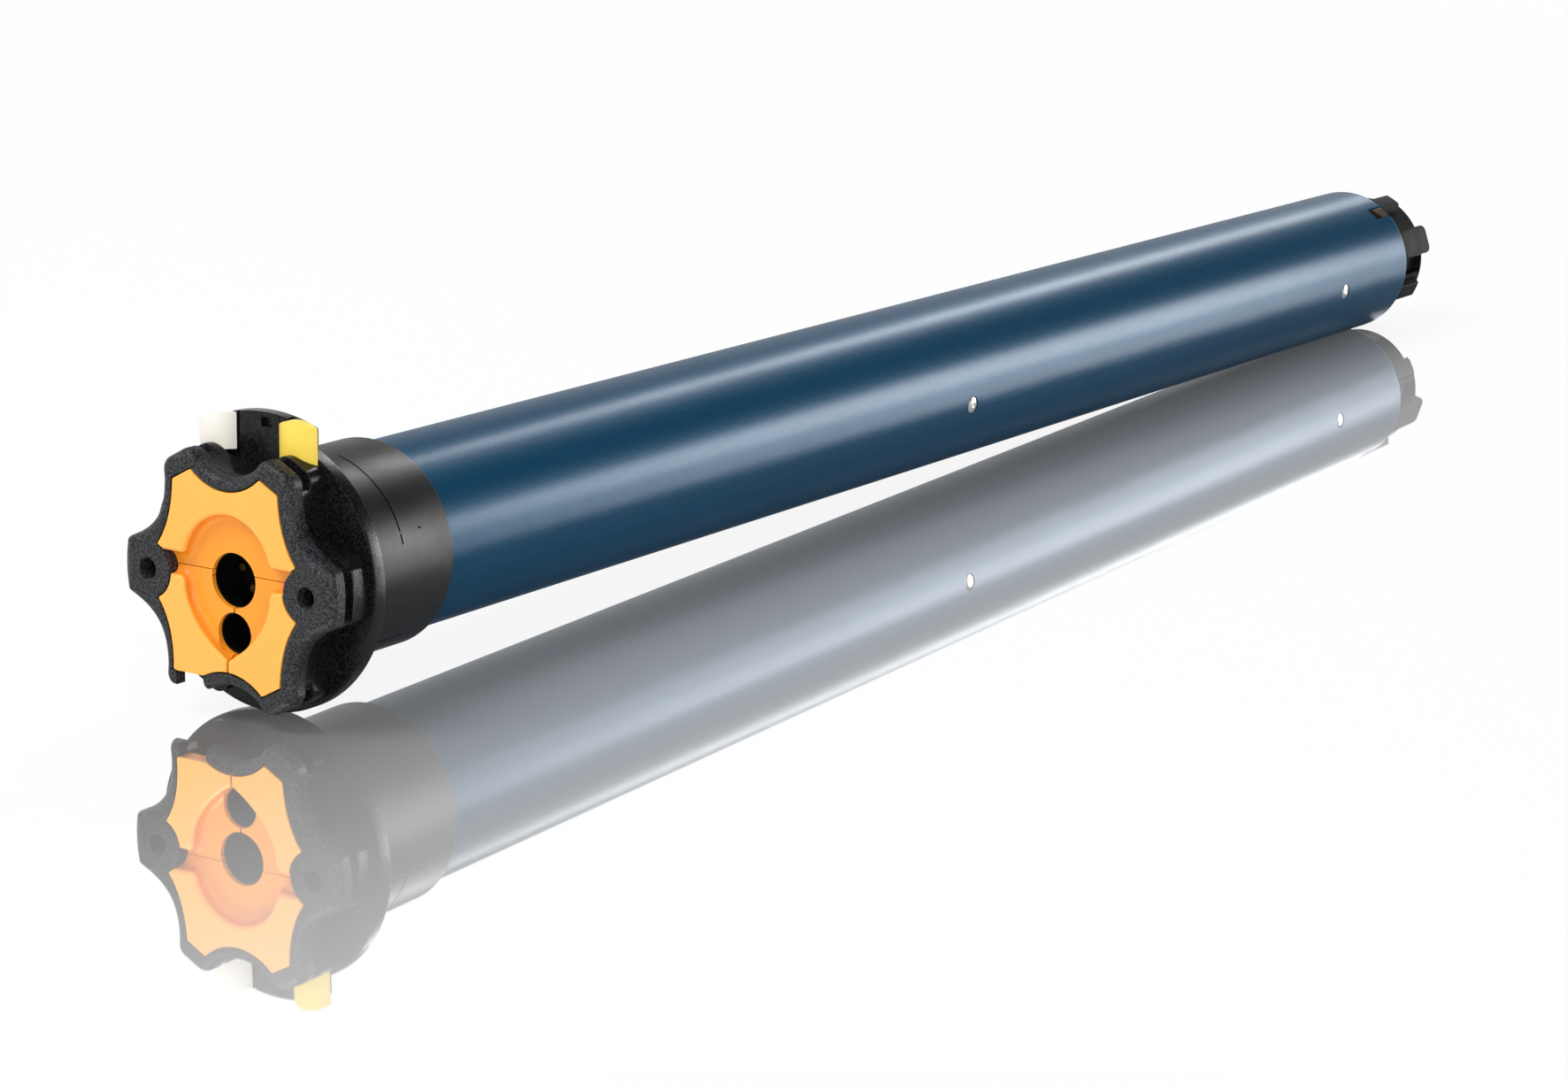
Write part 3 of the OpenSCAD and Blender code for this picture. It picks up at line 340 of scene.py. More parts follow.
def box_mesh(name, lo, hi):
    (x0, y0, z0), (x1, y1, z1) = lo, hi
    return make(name, [(x, y, z) for x in (x0, x1) for y in (y0, y1) for z in (z0, z1)], BOX_FACES)


def cylinder(name, r, y0, y1, at=(0, 0), n=64):
    return plate(name, circle(at, r, n), [(0, y0), (0, y1)])


def upright(name, r, at, z0, z1, n=160):
    """A round post that stands at (x, y)."""
    angles = [2 * math.pi * i / n for i in range(n)]
    pts = [(at[0] + r * math.cos(a), at[1] + r * math.sin(a)) for a in angles]
    faces = [(i, (i + 1) % n, n + (i + 1) % n, n + i) for i in range(n)]
    faces += [tuple(range(n)), tuple(range(2 * n - 1, n - 1, -1))]
    return make(name, [(x, y, z) for z in (z0, z1) for x, y in pts], faces)


def sector_mesh(name, r0, r1, a0, a1, y0, y1, n=24):
    pts = arc((0, 0), r1, a0, a1, n) + arc((0, 0), r0, a1, a0, n)
    return plate(name, pts, [(0, y0), (0, y1)])


def settle(ob):
    """Turns the object's modifiers into its mesh."""
    dg = bpy.context.evaluated_depsgraph_get()
    me = bpy.data.meshes.new_from_object(
        ob.evaluated_get(dg), preserve_all_data_layers=True, depsgraph=dg)
    old = ob.data
    ob.modifiers.clear()
    ob.data = me
    bpy.data.meshes.remove(old)
    return ob


def combine(ob, tools, operation="DIFFERENCE"):
    """Cuts, joins or crosses the object with each tool, and removes the tools."""
    for t in tools:
        m = ob.modifiers.new("cut", "BOOLEAN")
        m.operation = operation
        m.solver = "EXACT"
        m.object = t
        settle(ob)
        discard(t)
    return ob


def clean(ob, degrees=0.5):
    bm = bmesh.new()
    bm.from_mesh(ob.data)
    bmesh.ops.remove_doubles(bm, verts=bm.verts, dist=3e-6)
    bmesh.ops.dissolve_degenerate(bm, dist=3e-6, edges=bm.edges)
    bmesh.ops.dissolve_limit(bm, angle_limit=math.radians(degrees), verts=bm.verts, edges=bm.edges)
    bm.to_mesh(ob.data)
    bm.free()
    return ob


def bevel(ob, width, segments=2, angle=40):
    m = ob.modifiers.new("bevel", "BEVEL")
    m.width = width * MM
    m.segments = segments
    m.limit_method = "ANGLE"
    m.angle_limit = math.radians(angle)
    m.use_clamp_overlap = True
    return settle(ob)


def join(name, objects):
    bm = bmesh.new()
    for o in objects:
        bm.from_mesh(o.data)
        discard(o)
    me = bpy.data.meshes.new(name)
    bm.to_mesh(me)
    bm.free()
    return placed(name, me)


def coat(ob, slot):
    ob.data.materials.clear()
    ob.data.materials.append(BY_SLOT[slot])


def piece(ob, body, slot, nodes, angle=38):
    """Makes an object a piece of the visual: smooth up to the angle, on its body, in its slot."""
    ob.data.shade_smooth()
    ob.data.set_sharp_from_angle(angle=math.radians(angle))
    m = ob.modifiers.new("normals", "WEIGHTED_NORMAL")
    m.keep_sharp = True
    m.weight = 90
    coat(ob, slot)
    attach(ob, body)
    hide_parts(*nodes)
    return ob


# ---------------------------------------------------------------- node trees
def srgb(code):
    v = [int(code[i:i + 2], 16) / 255 for i in (0, 2, 4)]
    return [c / 12.92 if c <= 0.04045 else ((c + 0.055) / 1.055) ** 2.4 for c in v] + [1.0]


class Nodes:
    """Short names for the node calls of one node tree."""

    def __init__(self, tree):
        self.tree = tree
        self.coords = self.add("TexCoord")

    def add(self, kind, **values):
        n = self.tree.nodes.new("ShaderNode" + kind)
        for key, v in values.items():
            n.inputs[key.replace("_", " ")].default_value = v
        return n

    def link(self, a, b):
        self.tree.links.new(a, b)

    def feed(self, value, socket):
        """Sets an input to a value, or links it where the value is another node's output."""
        if isinstance(value, bpy.types.NodeSocket):
            self.link(value, socket)
        else:
            socket.default_value = value

    def noise(self, scale, detail=2.0, rough=0.5, stretch=None):
        n = self.add("TexNoise", Scale=scale, Detail=detail, Roughness=rough)
        source = self.coords.outputs["Object"]
        if stretch:
            m = self.add("Mapping", Scale=stretch)
            self.link(source, m.inputs["Vector"])
            source = m.outputs["Vector"]
        self.link(source, n.inputs["Vector"])
        return n.outputs["Fac"]

    def cells(self, scale):
        n = self.add("TexVoronoi", Scale=scale)
        self.link(self.coords.outputs["Object"], n.inputs["Vector"])
        return n.outputs["Distance"]

    def axis(self, letter, source="Object"):
        n = self.add("SeparateXYZ")
        self.link(self.coords.outputs[source], n.inputs[0])
        return n.outputs[letter]

    def ramp(self, source, *stops):
        """Colours over a value. Each stop is (position, colour code)."""
        n = self.add("ValToRGB")
        e = n.color_ramp.elements
        while len(e) < len(stops):
            e.new(0.5)
        for s, (pos, code) in zip(e, stops):
            s.position = pos
            s.color = srgb(code)
        self.link(source, n.inputs["Fac"])
        return n.outputs["Color"]

    def span(self, source, a0, a1, b0, b1):
        """A value with its range a0 to a1 mapped to b0 to b1."""
        n = self.add("MapRange", From_Min=a0, From_Max=a1, To_Min=b0, To_Max=b1)
        self.link(source, n.inputs["Value"])
        return n.outputs["Result"]

    def mix(self, factor, a, b, kind="FLOAT", blend="MIX"):
        n = self.add("Mix")
        n.data_type = kind
        n.blend_type = blend
        for key, v in (("Factor", factor), ("A", a), ("B", b)):
            self.feed(v, n.inputs[key])
        return n.outputs["Result"]

    def calc(self, operation, a, b):
        n = self.add("Math")
        n.operation = operation
        self.link(a, n.inputs[0])
        self.link(b, n.inputs[1])
        return n.outputs[0]

    def overlay(self, share, under, over):
        """One shader laid over another, by its share."""
        n = self.add("MixShader")
        for i, source in enumerate((share, under, over)):
            self.link(source, n.inputs[i])
        return n.outputs[0]

    def bump(self, height, distance, strength=1.0, after=None):
        n = self.add("Bump", Distance=distance)
        self.feed(strength, n.inputs["Strength"])
        self.link(height, n.inputs["Height"])
        if after:
            self.link(after, n.inputs["Normal"])
        return n.outputs["Normal"]

    def background_rays(self):
        """1 for the rays that see the white background: camera, glossy and transmission rays."""
        path = self.add("LightPath")
        found = path.outputs["Is Camera Ray"]
        for kind in ("Is Glossy Ray", "Is Transmission Ray"):
            found = self.calc("MAXIMUM", found, path.outputs[kind])
        return found


class Paint(Nodes):
    """The nodes of a material round its Principled shader."""

    def __init__(self, name):
        self.mat = bpy.data.materials.new(name)
        self.mat.use_nodes = True
        super().__init__(self.mat.node_tree)
        self.shader = self.tree.nodes["Principled BSDF"]

    def give(self, **values):
        for key, v in values.items():
            self.feed(v, self.shader.inputs[key.replace("_", " ")])
        return self.mat


# ---------------------------------------------------------------- materials
def grained_plastic(name, dark, light, rough, grain=0.00003, size=2600, gloss=0.5):
    """Moulded, glass-filled plastic with a fine grain in height and colour and uneven gloss."""
    m = Paint(name)
    fine = m.noise(size, 3.0, 0.65)
    return m.give(
        Base_Color=m.ramp(fine, (0.42, dark), (0.7, light)),
        Roughness=m.span(m.noise(60), 0.3, 0.7, rough - 0.05, rough + 0.07),
        Normal=m.bump(fine, grain, 1.0, m.bump(m.noise(size / 5), grain * 1.2, 0.5)),
        Specular_IOR_Level=gloss)


def head_plastic(name, front, behind, gloss):
    """Spark-eroded front rim up to the groove, smoother flanks behind it. The rim's colours are
    lighter, partly its grain and partly a painted highlight; the flanks' are darker as painted
    shade.
    """
    m = Paint(name)
    fine = m.noise(1700, 3.0, 0.65)
    wide = m.noise(60)
    y = m.axis("Y")
    change = (0.0046, 0.0056)
    place = m.span(y, *change, 0, 1)
    shades = [m.ramp(fine, (0.42, dark), (0.7, light)) for dark, light in (front, behind)]
    rough = [m.span(wide, 0.3, 0.7, *ends) for ends in ((0.34, 0.46), (0.22, 0.3))]
    return m.give(
        Base_Color=m.mix(place, *shades, "RGBA"),
        Roughness=m.mix(place, *rough),
        Normal=m.bump(fine, 0.00016, m.span(y, *change, 1.0, 0.28)),
        Specular_IOR_Level=gloss)


def smooth_plastic(name, base, deep, rough, gloss=0.5, recess_shade=()):
    """Satin moulded plastic with a faint flow pattern. A recess shade darkens and deepens its
    colour by depth in the recess: painted shade.
    """
    m = Paint(name)
    fine = m.noise(1800, 2.0, 0.6)
    color = m.ramp(m.noise(45, 3.0, 0.55), (0.25, deep), (0.75, base))
    # Painted shade: the colour is multiplied darker with depth in the recess.
    if recess_shade:
        depth = m.span(m.axis("Y"), 0.0, RECESS * MM, 0, 1)
        color = m.mix(1, color, m.ramp(depth, *recess_shade), "RGBA", "MULTIPLY")
    return m.give(
        Base_Color=color,
        Roughness=m.span(fine, 0.3, 0.7, rough - 0.03, rough + 0.04),
        Normal=m.bump(fine, 0.000012, 0.7),
        Specular_IOR_Level=gloss)


def metal(name, light, dark, rough, stretch=(1, 1, 1), size=900, grain=0.00001):
    """Bare metal with fine marks, drawn out along one direction by the stretch."""
    m = Paint(name)
    marks = m.noise(size, 4.0, 0.6, stretch)
    return m.give(
        Base_Color=m.ramp(marks, (0.3, dark), (0.7, light)),
        Roughness=m.span(m.noise(70), 0.3, 0.7, rough - 0.06, rough + 0.08),
        Normal=m.bump(marks, grain, 0.8),
        Metallic=1.0)


def laminations(name, light, dark):
    """Stacked sheets: fine lines across the y direction."""
    m = Paint(name)
    w = m.add("TexWave", Scale=300, Distortion=0.4)
    w.bands_direction = "Y"
    m.link(m.coords.outputs["Object"], w.inputs["Vector"])
    lines = w.outputs["Fac"]
    return m.give(
        Base_Color=m.ramp(lines, (0.2, dark), (0.6, light)),
        Roughness=m.span(m.noise(500), 0.3, 0.7, 0.3, 0.5),
        Normal=m.bump(lines, 0.00005, 0.7),
        Metallic=0.9)


def coated_paint(name):
    """Petrol-blue paint with fine flakes under a thin clear coat, paler on a narrow band at the far
    end's rim.
    """
    m = Paint(name)
    fine = m.noise(3000, 2.0, 0.6)
    fresh = m.ramp(fine, (0.3, "00344F"), (0.55, "004262"), (0.8, "045A7C"))
    # Paler on a narrow band at the far end's rim.
    pale_rim = m.span(m.axis("Y"), 0.58475, 0.58515, 0, 1)
    return m.give(
        Base_Color=m.mix(pale_rim, fresh, srgb("6FA3B8"), "RGBA"),
        Roughness=m.span(m.noise(25), 0.3, 0.7, 0.38, 0.42),
        Normal=m.bump(m.mix(0.5, fine, m.cells(4200), "RGBA"), 0.00004, 0.7),
        Metallic=0.2, Specular_IOR_Level=0.03, Coat_Weight=0.13, Coat_Roughness=0.27, Coat_IOR=2.0)


# Painted shade: white on the plateau, deeper and darker orange on the recess walls and floor,
# standing in for shade and bounced light.
COVER_RECESS_SHADE = ((0.12, "FFFFFF"), (0.45, "F0C878"), (0.82, "F0C878"), (0.98, "F9DC7B"))
BY_SLOT = {
    # Front colours lighter as a painted highlight on the rim, flank colours darker as painted
    # shade.
    "head_plastic": head_plastic(
        "anthracite_plastic", ("121213", "505155"), ("050506", "242528"), 0.22),
    "cover_plastic": smooth_plastic("orange_plastic", "FFB750", "FDB249", 0.38, 0.5, COVER_RECESS_SHADE),
    # Painted shade: the socket's plastic is darkened and its brass contacts far darker than brass,
    # so the wells of the plug opening look black.
    "socket_plastic": grained_plastic(
        "socket_plastic", "050505", "0C0C0C", 0.4, 0.00001, gloss=0.2),
    "contact_brass": metal("contact_brass", "5C4D2C", "463A20", 0.45),
    "white_plastic": smooth_plastic("white_plastic", "FDF9F1", "F9F2E5", 0.4, 0.45),
    "yellow_plastic": smooth_plastic("yellow_plastic", "FFE164", "FFDA4C", 0.38, 0.4),
    "spring_steel": metal("spring_steel", "C5C7CA", "8D8F93", 0.25),
    "crown_plastic": grained_plastic(
        "crown_plastic", "0C0C0D", "1C1C1D", 0.38, size=3000, gloss=0.32),
    "gear_plastic": smooth_plastic("gear_plastic", "E9E2CF", "DDD5C0", 0.42),
    "frame_plastic": grained_plastic("frame_plastic", "262B33", "39404A", 0.5),
    "switch_plastic": smooth_plastic("switch_plastic", "1A1A1D", "242428", 0.45),
    "capacitor_can": metal("capacitor_can", "D4D5D6", "B9BBBE", 0.35, (1, 0.1, 1)),
    "seal_rubber": smooth_plastic("seal_rubber", "141414", "1C1C1C", 0.7, 0.3),
    "tube_paint": coated_paint("petrol_paint"),
    "rivet_steel": metal("rivet_steel", "E9E8E4", "BDBBB6", 0.22, grain=0.00002),
    "cast_aluminium": metal("cast_aluminium", "B5B7BA", "9A9CA0", 0.5, size=400, grain=0.00006),
    "bearing_steel": metal("bearing_steel", "C9CACD", "AEB0B4", 0.2, (1, 0.05, 1)),
    "lamination_steel": laminations("lamination_steel", "8B8D90", "4E5053"),
    "copper_wire": metal("copper_wire", "D98A52", "9C4F22", 0.35, (1, 0.08, 1), 1500, 0.00005),
    "cage_aluminium": metal("cage_aluminium", "C4C6C9", "A8AAAE", 0.4, size=500, grain=0.00003),
    "machined_steel": metal("machined_steel", "B9BBBE", "94969A", 0.3, (1, 0.06, 1)),
    "brake_iron": metal("brake_iron", "5D5F63", "3F4144", 0.5, size=500, grain=0.00003),
    "brake_lining": smooth_plastic("brake_lining", "4A4039", "2F2925", 0.8, 0.2),
    "bush_bronze": metal("bush_bronze", "B98A50", "8C6433", 0.4, size=1200),
    "cap_plastic": grained_plastic("cap_plastic", "2A1B12", "4A3220", 0.45, gloss=0.25),
    "drive_plastic": grained_plastic("drive_plastic", "111112", "242526", 0.55, gloss=0.06),
}
for part in frame["record"]["subparts"]:
    coat(frame["nodes"][part["node"]], part["material_slot"])

# ---------------------------------------------------------------- outlines of the head
lobe_side, lobe_top = polar(LOBE_R, LOBE_A - LOBE_HALF), polar(LOBE_R, LOBE_A + LOBE_HALF)
valley_z, valley_arc, valley_side = valley(lobe_top, VALLEY_R)
flank = (lobe_side[0] - 0.5, lobe_side[1] - 3.2)
rise = polar(valley_arc, valley_side - VALLEY_LEAD, (0, valley_z))
ear_corner = polar(EAR_R, EAR_A)
ear_path = bezier(ear_corner, (ear_corner[0] - 8.5, 9.9), (flank[0] - 0.1, 13.5), flank, 30)
star = four_fold(tidy(
    arc((0, 0), EAR_R, 0, EAR_A - EAR_LEAD, 6)
    + fillet(polar(EAR_R, EAR_A - EAR_LEAD), ear_corner, ear_path[4], 1.5, 6)
    + ear_path[5:-1]
    + fillet(flank, lobe_side, lobe_top, LOBE_SOFT, 12)
    + fillet(lobe_side, lobe_top, rise, LOBE_SOFT, 12)
    + arc((0, valley_z), valley_arc, valley_side - VALLEY_LEAD, -90, 26)))

cover_side = polar(COVER_LOBE_R, LOBE_A - COVER_LOBE_HALF)
cover_top = polar(COVER_LOBE_R, LOBE_A + COVER_LOBE_HALF)
bite_end = math.degrees(math.acos(3 / BITE))
cover_tip = polar(BITE, 180 - bite_end, (HOLE_X, 0))
cover_z, cover_r, cover_a = valley(cover_top, COVER_VALLEY)
cover_arc = arc((0, cover_z), cover_r, cover_a, -90, 22)


def cover_quadrant(corner, soft):
    """From the bite at the ear over the lobe's side corner, which is rounded by soft, to x = 0."""
    pulls = (cover_tip[0] - 2.4, cover_tip[1] + 3), (cover_side[0] + 0.3, 14.5)
    side = bezier(cover_tip, *pulls, corner, 24)
    return tidy(
        arc((HOLE_X, 0), BITE, 180, 180 - bite_end + 4, 12)
        + fillet(polar(BITE, 184 - bite_end, (HOLE_X, 0)), cover_tip, side[3], 0.4, 4)
        + side[3:-1]
        + fillet(side[-2], corner, cover_top, soft, 4)
        + fillet(corner, cover_top, cover_arc[1], 0.5, 4)
        + cover_arc[1:], 0.05)


cover_star = four_fold(cover_quadrant(cover_side, 0.5), cover_quadrant(LOW_CORNER, 0.4))

meet = math.degrees(math.asin((PLATEAU_Z - ARCH_Z) / ARCH_R))
corner_r, corner_l = polar(ARCH_R, meet, (0, ARCH_Z)), polar(ARCH_R, 180 - meet, (0, ARCH_Z))
arch_line = tidy(
    [(-60, -20), (60, -20), (60, PLATEAU_Z)]
    + fillet((60, PLATEAU_Z), corner_r, (corner_r[0] - 1.8, corner_r[1] + 10), ARCH_SOFT, 8)
    + arc((0, ARCH_Z), ARCH_R, meet + 10, 170 - meet, 80)
    + fillet((corner_l[0] + 1.8, corner_l[1] + 10), corner_l, (-60, PLATEAU_Z), ARCH_SOFT, 8)
    + [(-60, PLATEAU_Z)])
left_pillar = tidy(
    [(CHANNEL_FOOT[0], -50)]
    + fillet((CHANNEL_FOOT[0], -50), CHANNEL_FOOT, (-5, -15.4), 0.9, 6)
    + bezier((-1.2, -18), (-7.6, -14.2), (-12.6, -8.2), CHANNEL_TOP, 24)[1:]
    + fillet(CHANNEL_TOP, (CHANNEL_TOP[0] - 0.05, PILLAR_Z), (-50, PILLAR_Z), 1.9, 10)
    + [(-50, PILLAR_Z), (-50, -50)])


def flange_outline():
    """The round flange with the raised sector over the buttons."""
    low = [math.degrees(math.acos(x / FLANGE_R)) for x in SECTOR_X]
    high = [math.degrees(math.acos(x / SECTOR_R)) for x in SECTOR_X]
    left, right = [[polar(FLANGE_R, low[i]), polar(SECTOR_R, high[i])] for i in (0, 1)]
    return tidy(
        arc((0, 0), FLANGE_R, low[0], 360 + low[1], 110)
        + fillet(right[0], right[1], polar(SECTOR_R, high[1] + 2), 0.7, 5)
        + arc((0, 0), SECTOR_R, high[1] + 2.5, high[0] - 2.5, 40)
        + fillet(polar(SECTOR_R, high[0] - 2), left[1], left[0], 0.7, 5))


# ---------------------------------------------------------------- head
def rim_scale(p):
    """How wide the round rim is at a point of the star: wider on the ears' outer ends."""
    a = abs(math.degrees(math.atan2(p[1], abs(p[0]))))
    return 1.0 + EAR_RIM * smooth_step((EAR_RIM_A - a) / EAR_RIM_FADE)


def clamp(p, r):
    """The point drawn in to the radius r, where it lies outside."""
    return p if math.hypot(*p) <= r else tuple(c * r / math.hypot(*p) for c in p)


def star_body():
    """The star with its rim and groove, the pocket of the cover and the holes of the ears."""
    rings = levels(star, [(-g, y) for g, y in quarter(EDGE, 8)], [rim_scale(p) for p in star])
    deep = [clamp(p, GROOVE_R) for p in star]
    lip = [(p[0] + (q[0] - p[0]) * LIP_SHARE, p[1] + (q[1] - p[1]) * LIP_SHARE)
           for p, q in zip(star, deep)]
    for line, y in ((star, GROOVE_0 - GROOVE_LIP), (lip, GROOVE_0), (deep, GROOVE_0 + GROOVE_FOOT),
                    (deep, GROOVE_1 - GROOVE_FOOT), (lip, GROOVE_1), (star, GROOVE_1 + GROOVE_LIP),
                    (star, STAR_DEPTH), (star, STAR_DEPTH + 1)):
        rings.append([lift(p, y) for p in line])
    back = (0, STAR_DEPTH + 1)
    loops = [rings, levels(grown(cover_star, COVER_GAP), ((0.3, 0), (0.09, 0.09), (0, 0.3), back))]
    for s in (-1, 1):
        loops.append(levels(circle((s * HOLE_X, 0), HOLE_R, 48), (*EDGE_SOFT, back)))
    return rings_mesh("head_body", loops)


def button_pocket(x, z, side):
    """The cutters for one button: its round front, the room of its tongue and the gap beside it."""
    bottom = z - POCKET_DEPTH
    front = box_mesh("front", (x - 10, 0, bottom), (x + 10, STAR_DEPTH, 60))
    post = upright("round", BUTTON_R + POCKET_GAP, (x, BUTTON_Y), bottom - 1, 61)
    combine(front, [post], "INTERSECT")
    mid = x + side * TONGUE_SHIFT
    room = box_mesh("tongue_room", (mid - ROOM_HALF, ROOM_0, bottom), (mid + ROOM_HALF, ROOM_1, 60))
    edge = x + side * BUTTON_HALF
    end = edge + (0.8 if side > 0 else 0.1)
    gap = box_mesh("gap", (edge - 0.1, ROOM_0, bottom + 2), (end, 13.9, 60))
    return [front, room, gap]


def head():
    body = star_body()
    rings = [(-g, STAR_DEPTH + y) for g, y in FLANGE_SOFT]
    rings += [(-g, FLANGE_END - y) for g, y in reversed(FLANGE_SOFT)]
    core = (circle((0, 0), FLANGE_BORE, 64), [(0, STAR_DEPTH), (0, FLANGE_END)])
    combine(body, [plate("flange", flange_outline(), rings, [core])], "UNION")

    cutters = []
    for place in BUTTONS:
        cutters += button_pocket(*place)
    top, inner = CHORD_Z - 0.6, CABLE[0] + 0.5
    for name, lo, hi in (
            ("square", (0.1, 12.3, 34.9), (3.3, 14.7, 37.2)),
            ("slit", (-5, 3.4, VALLEY_R - 0.9), (5, 3.9, 28)),
            ("cable", (CABLE[0], -1, -60), (CABLE[1], CABLE_DEPTH, top)),
            ("side_way", (-40, 3, -60), (inner, CABLE_DEPTH, top)),
            ("short_lobe", (-40, -1, -60), (inner, CABLE_DEPTH, SHORT_LOBE_Z))):
        cutters.append(box_mesh(name, lo, hi))
    for s in (-1, 1):
        cutters.append(cylinder("screw", HOLE_R, 12, 15.3, (s * HOLE_X, 0), 48))
    combine(body, cutters)
    clean(body)
    bevel(body, 0.18, 2, 42)

    collar, foot = SPIGOT_R - 0.55, FLANGE_END - 0.6
    spigot = revolve("spigot", [
        (SPIGOT_BORE, foot), (collar, foot), (collar, TUBE_START - 0.3), (TUBE_R, TUBE_START - 0.3),
        (TUBE_R, TUBE_START), (SPIGOT_R, TUBE_START), (SPIGOT_R, SPIGOT_END - 1),
        (SPIGOT_R - 1, SPIGOT_END), (SPIGOT_BORE, SPIGOT_END)], 96)
    return piece(join("head_shell", [body, spigot]), "root", "head_plastic", ["head_housing"])


def trim(ob, lo, hi):
    return combine(ob, [box_mesh("region", lo, hi)], "INTERSECT")


def cover_blank(name):
    """The outline of the whole cover with its soft front edge."""
    return plate(name, cover_star, [*[(-g, y) for g, y in EDGE_SOFT], (0, COVER_T)])


def finish_cover(ob, node):
    """Opens the plug and setting holes, softens the edges and makes the piece."""
    combine(ob, [cylinder("plug", PLUG_R, -1, 7, n=96),
                 cylinder("setting", SETTING_R, -1, 7, (0, -DROP), 96)])
    clean(ob)
    bevel(ob, 0.12, 2, 50)
    return piece(ob, "root", "cover_plastic", [node], 40)


def cover_upper():
    ob = cover_blank("cover_upper_skin")
    trim(ob, (-40, -1, SEAM), (40, 8, 40))
    # The soft step from the plateau down to the recess
    step = [(1.3, -0.3)] + quarter(COVE_TOP, 6) + [(-g, y) for g, y in hollow(COVE_R, 9)]
    combine(ob, [plate("arch", arch_line, step)])
    return finish_cover(ob, "cover_upper")


def cover_lower(side):
    node = "cover_lower_left" if side < 0 else "cover_lower_right"
    top = SEAM - 0.2
    lo, hi = ((-40, -1, CHORD_Z), (-0.3, 8, top)) if side < 0 else ((0.3, -1, -40), (40, 8, top))
    base = plate(node + "_skin", cover_star, [(0, RECESS), (0, COVER_T)])
    trim(base, lo, hi)
    pts = left_pillar if side < 0 else [(-x, z) for x, z in reversed(left_pillar)]
    rings = [(-g, y) for g, y in quarter(PILLAR_TOP, 6)] + hollow(COVE_R, 9)
    rings += [(COVE_R, COVER_T - 0.4)]
    pillar = plate("pillar", pts, rings)
    mask = cover_blank("mask")
    trim(mask, lo, hi)
    combine(pillar, [mask], "INTERSECT")
    combine(base, [pillar], "UNION")
    return finish_cover(base, node)


def button(name, place, crest, crest_r, slot):
    """A push button: round front, domed top, tongue and stem."""
    x, z, side = place
    ob = combine(box_mesh(name + "_cap", (x - 10, 5, z), (x + 10, BUTTON_BACK, 50)),
                 [upright("round", BUTTON_R, (x, BUTTON_Y), z - 1, 51)], "INTERSECT")
    dome = cylinder("dome", crest_r, 0, 30, (crest[0], crest[1] - crest_r), 240)
    combine(ob, [dome], "INTERSECT")
    clean(ob, 0.3)
    bevel(ob, 0.5, 4, 50)
    mid = x + side * TONGUE_SHIFT
    tongue = box_mesh("tongue", (mid - TONGUE_HALF, TONGUE_0, z + 0.1),
                      (mid + TONGUE_HALF, TONGUE_1, 50))
    dome = cylinder("dome", crest_r - 0.1, 0, 30, (crest[0], crest[1] - crest_r - 0.9), 120)
    combine(tongue, [dome], "INTERSECT")
    clean(tongue, 0.3)
    bevel(tongue, 0.2)
    stem = upright(name + "_stem", STEM_R, (x, STEM_Y), 14, z + 1, 24)
    return piece(join(name + "_skin", [ob, tongue, stem]), name, slot, [name])


def button_spring(name, place):
    """The wound spring below a button."""
    x, z = place[:2]
    low, high = SPRING_SEAT + SPRING_WIRE, z - SPRING_WIRE - 0.1
    sides, n = SPRING_SIDES, SPRING_TURNS * SPRING_STEPS
    verts = []
    for i in range(n + 1):
        w = 2 * math.pi * i / SPRING_STEPS
        for k in range(sides):
            a = 2 * math.pi * k / sides
            r = SPRING_R + SPRING_WIRE * math.cos(a)
            verts.append((x + r * math.cos(w), STEM_Y + r * math.sin(w),
                          low + (high - low) * i / n + SPRING_WIRE * math.sin(a)))
    faces = bands(sides, n)
    faces += [tuple(range(sides)), tuple(range((n + 1) * sides - 1, n * sides - 1, -1))]
    ob = piece(make(name + "_coil", verts, faces), "root", "spring_steel", [name + "_spring"])
    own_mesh(ob)


# ---------------------------------------------------------------- crown and tube
def crown():
    y0, bore, r, end = FLANGE_END + 0.3, TUBE_R + 0.3, CROWN_R, CROWN_END
    prof = [(CROWN_BORE, y0), (r - 0.4, y0), (r - 0.1, y0 + 0.1), (r, y0 + 0.4)]
    prof += [(r, y) for y in (22, 30, 38, 46)]
    prof += [(r, end - 0.6), (r - 0.18, end - 0.18), (r - 0.6, end), (bore, end),
             (bore, CROWN_STEP), (CROWN_BORE, CROWN_STEP)]
    ob = revolve("crown_skin", prof, 192)
    # Fine lines: one round the crown and two along it
    along = (y0 + 1, LINE_END, 3)
    lines = ((14, 78, 34.2, 34.75), (19.8, 21.0, *along), (314, 315.2, *along))
    combine(ob, [sector_mesh("line", r - LINE_DEPTH, r + 1, *line) for line in lines])
    clean(ob, 0.2)
    return piece(ob, "crown", "crown_plastic", ["crown"], 30)


def spoke_matrix(y, angle):
    """Local z points outwards at that angle, local y along the tube."""
    out = Vector((math.cos(math.radians(angle)), 0, math.sin(math.radians(angle))))
    side = Vector((0, 1, 0)).cross(out)
    m = Matrix((side, Vector((0, 1, 0)), out)).transposed().to_4x4()
    m.translation = Vector((0, y, 0)) * MM
    return m


def spoke_mesh(name, profile, y, angle, n=40):
    """A (radius, distance out) profile turned about a line that points outwards."""
    m = len(profile)
    verts = []
    for i in range(n):
        c, s = math.cos(2 * math.pi * i / n), math.sin(2 * math.pi * i / n)
        verts.extend((r * c, r * s, h) for r, h in profile)
    faces = turned_faces(m, n, closed=False)
    faces.append(tuple(i * m for i in range(n)))
    faces.append(tuple(i * m + m - 1 for i in reversed(range(n))))
    ob = make(name, verts, faces)
    ob.data.transform(spoke_matrix(y, angle))
    weld(ob.data, 1e-6)
    return ob


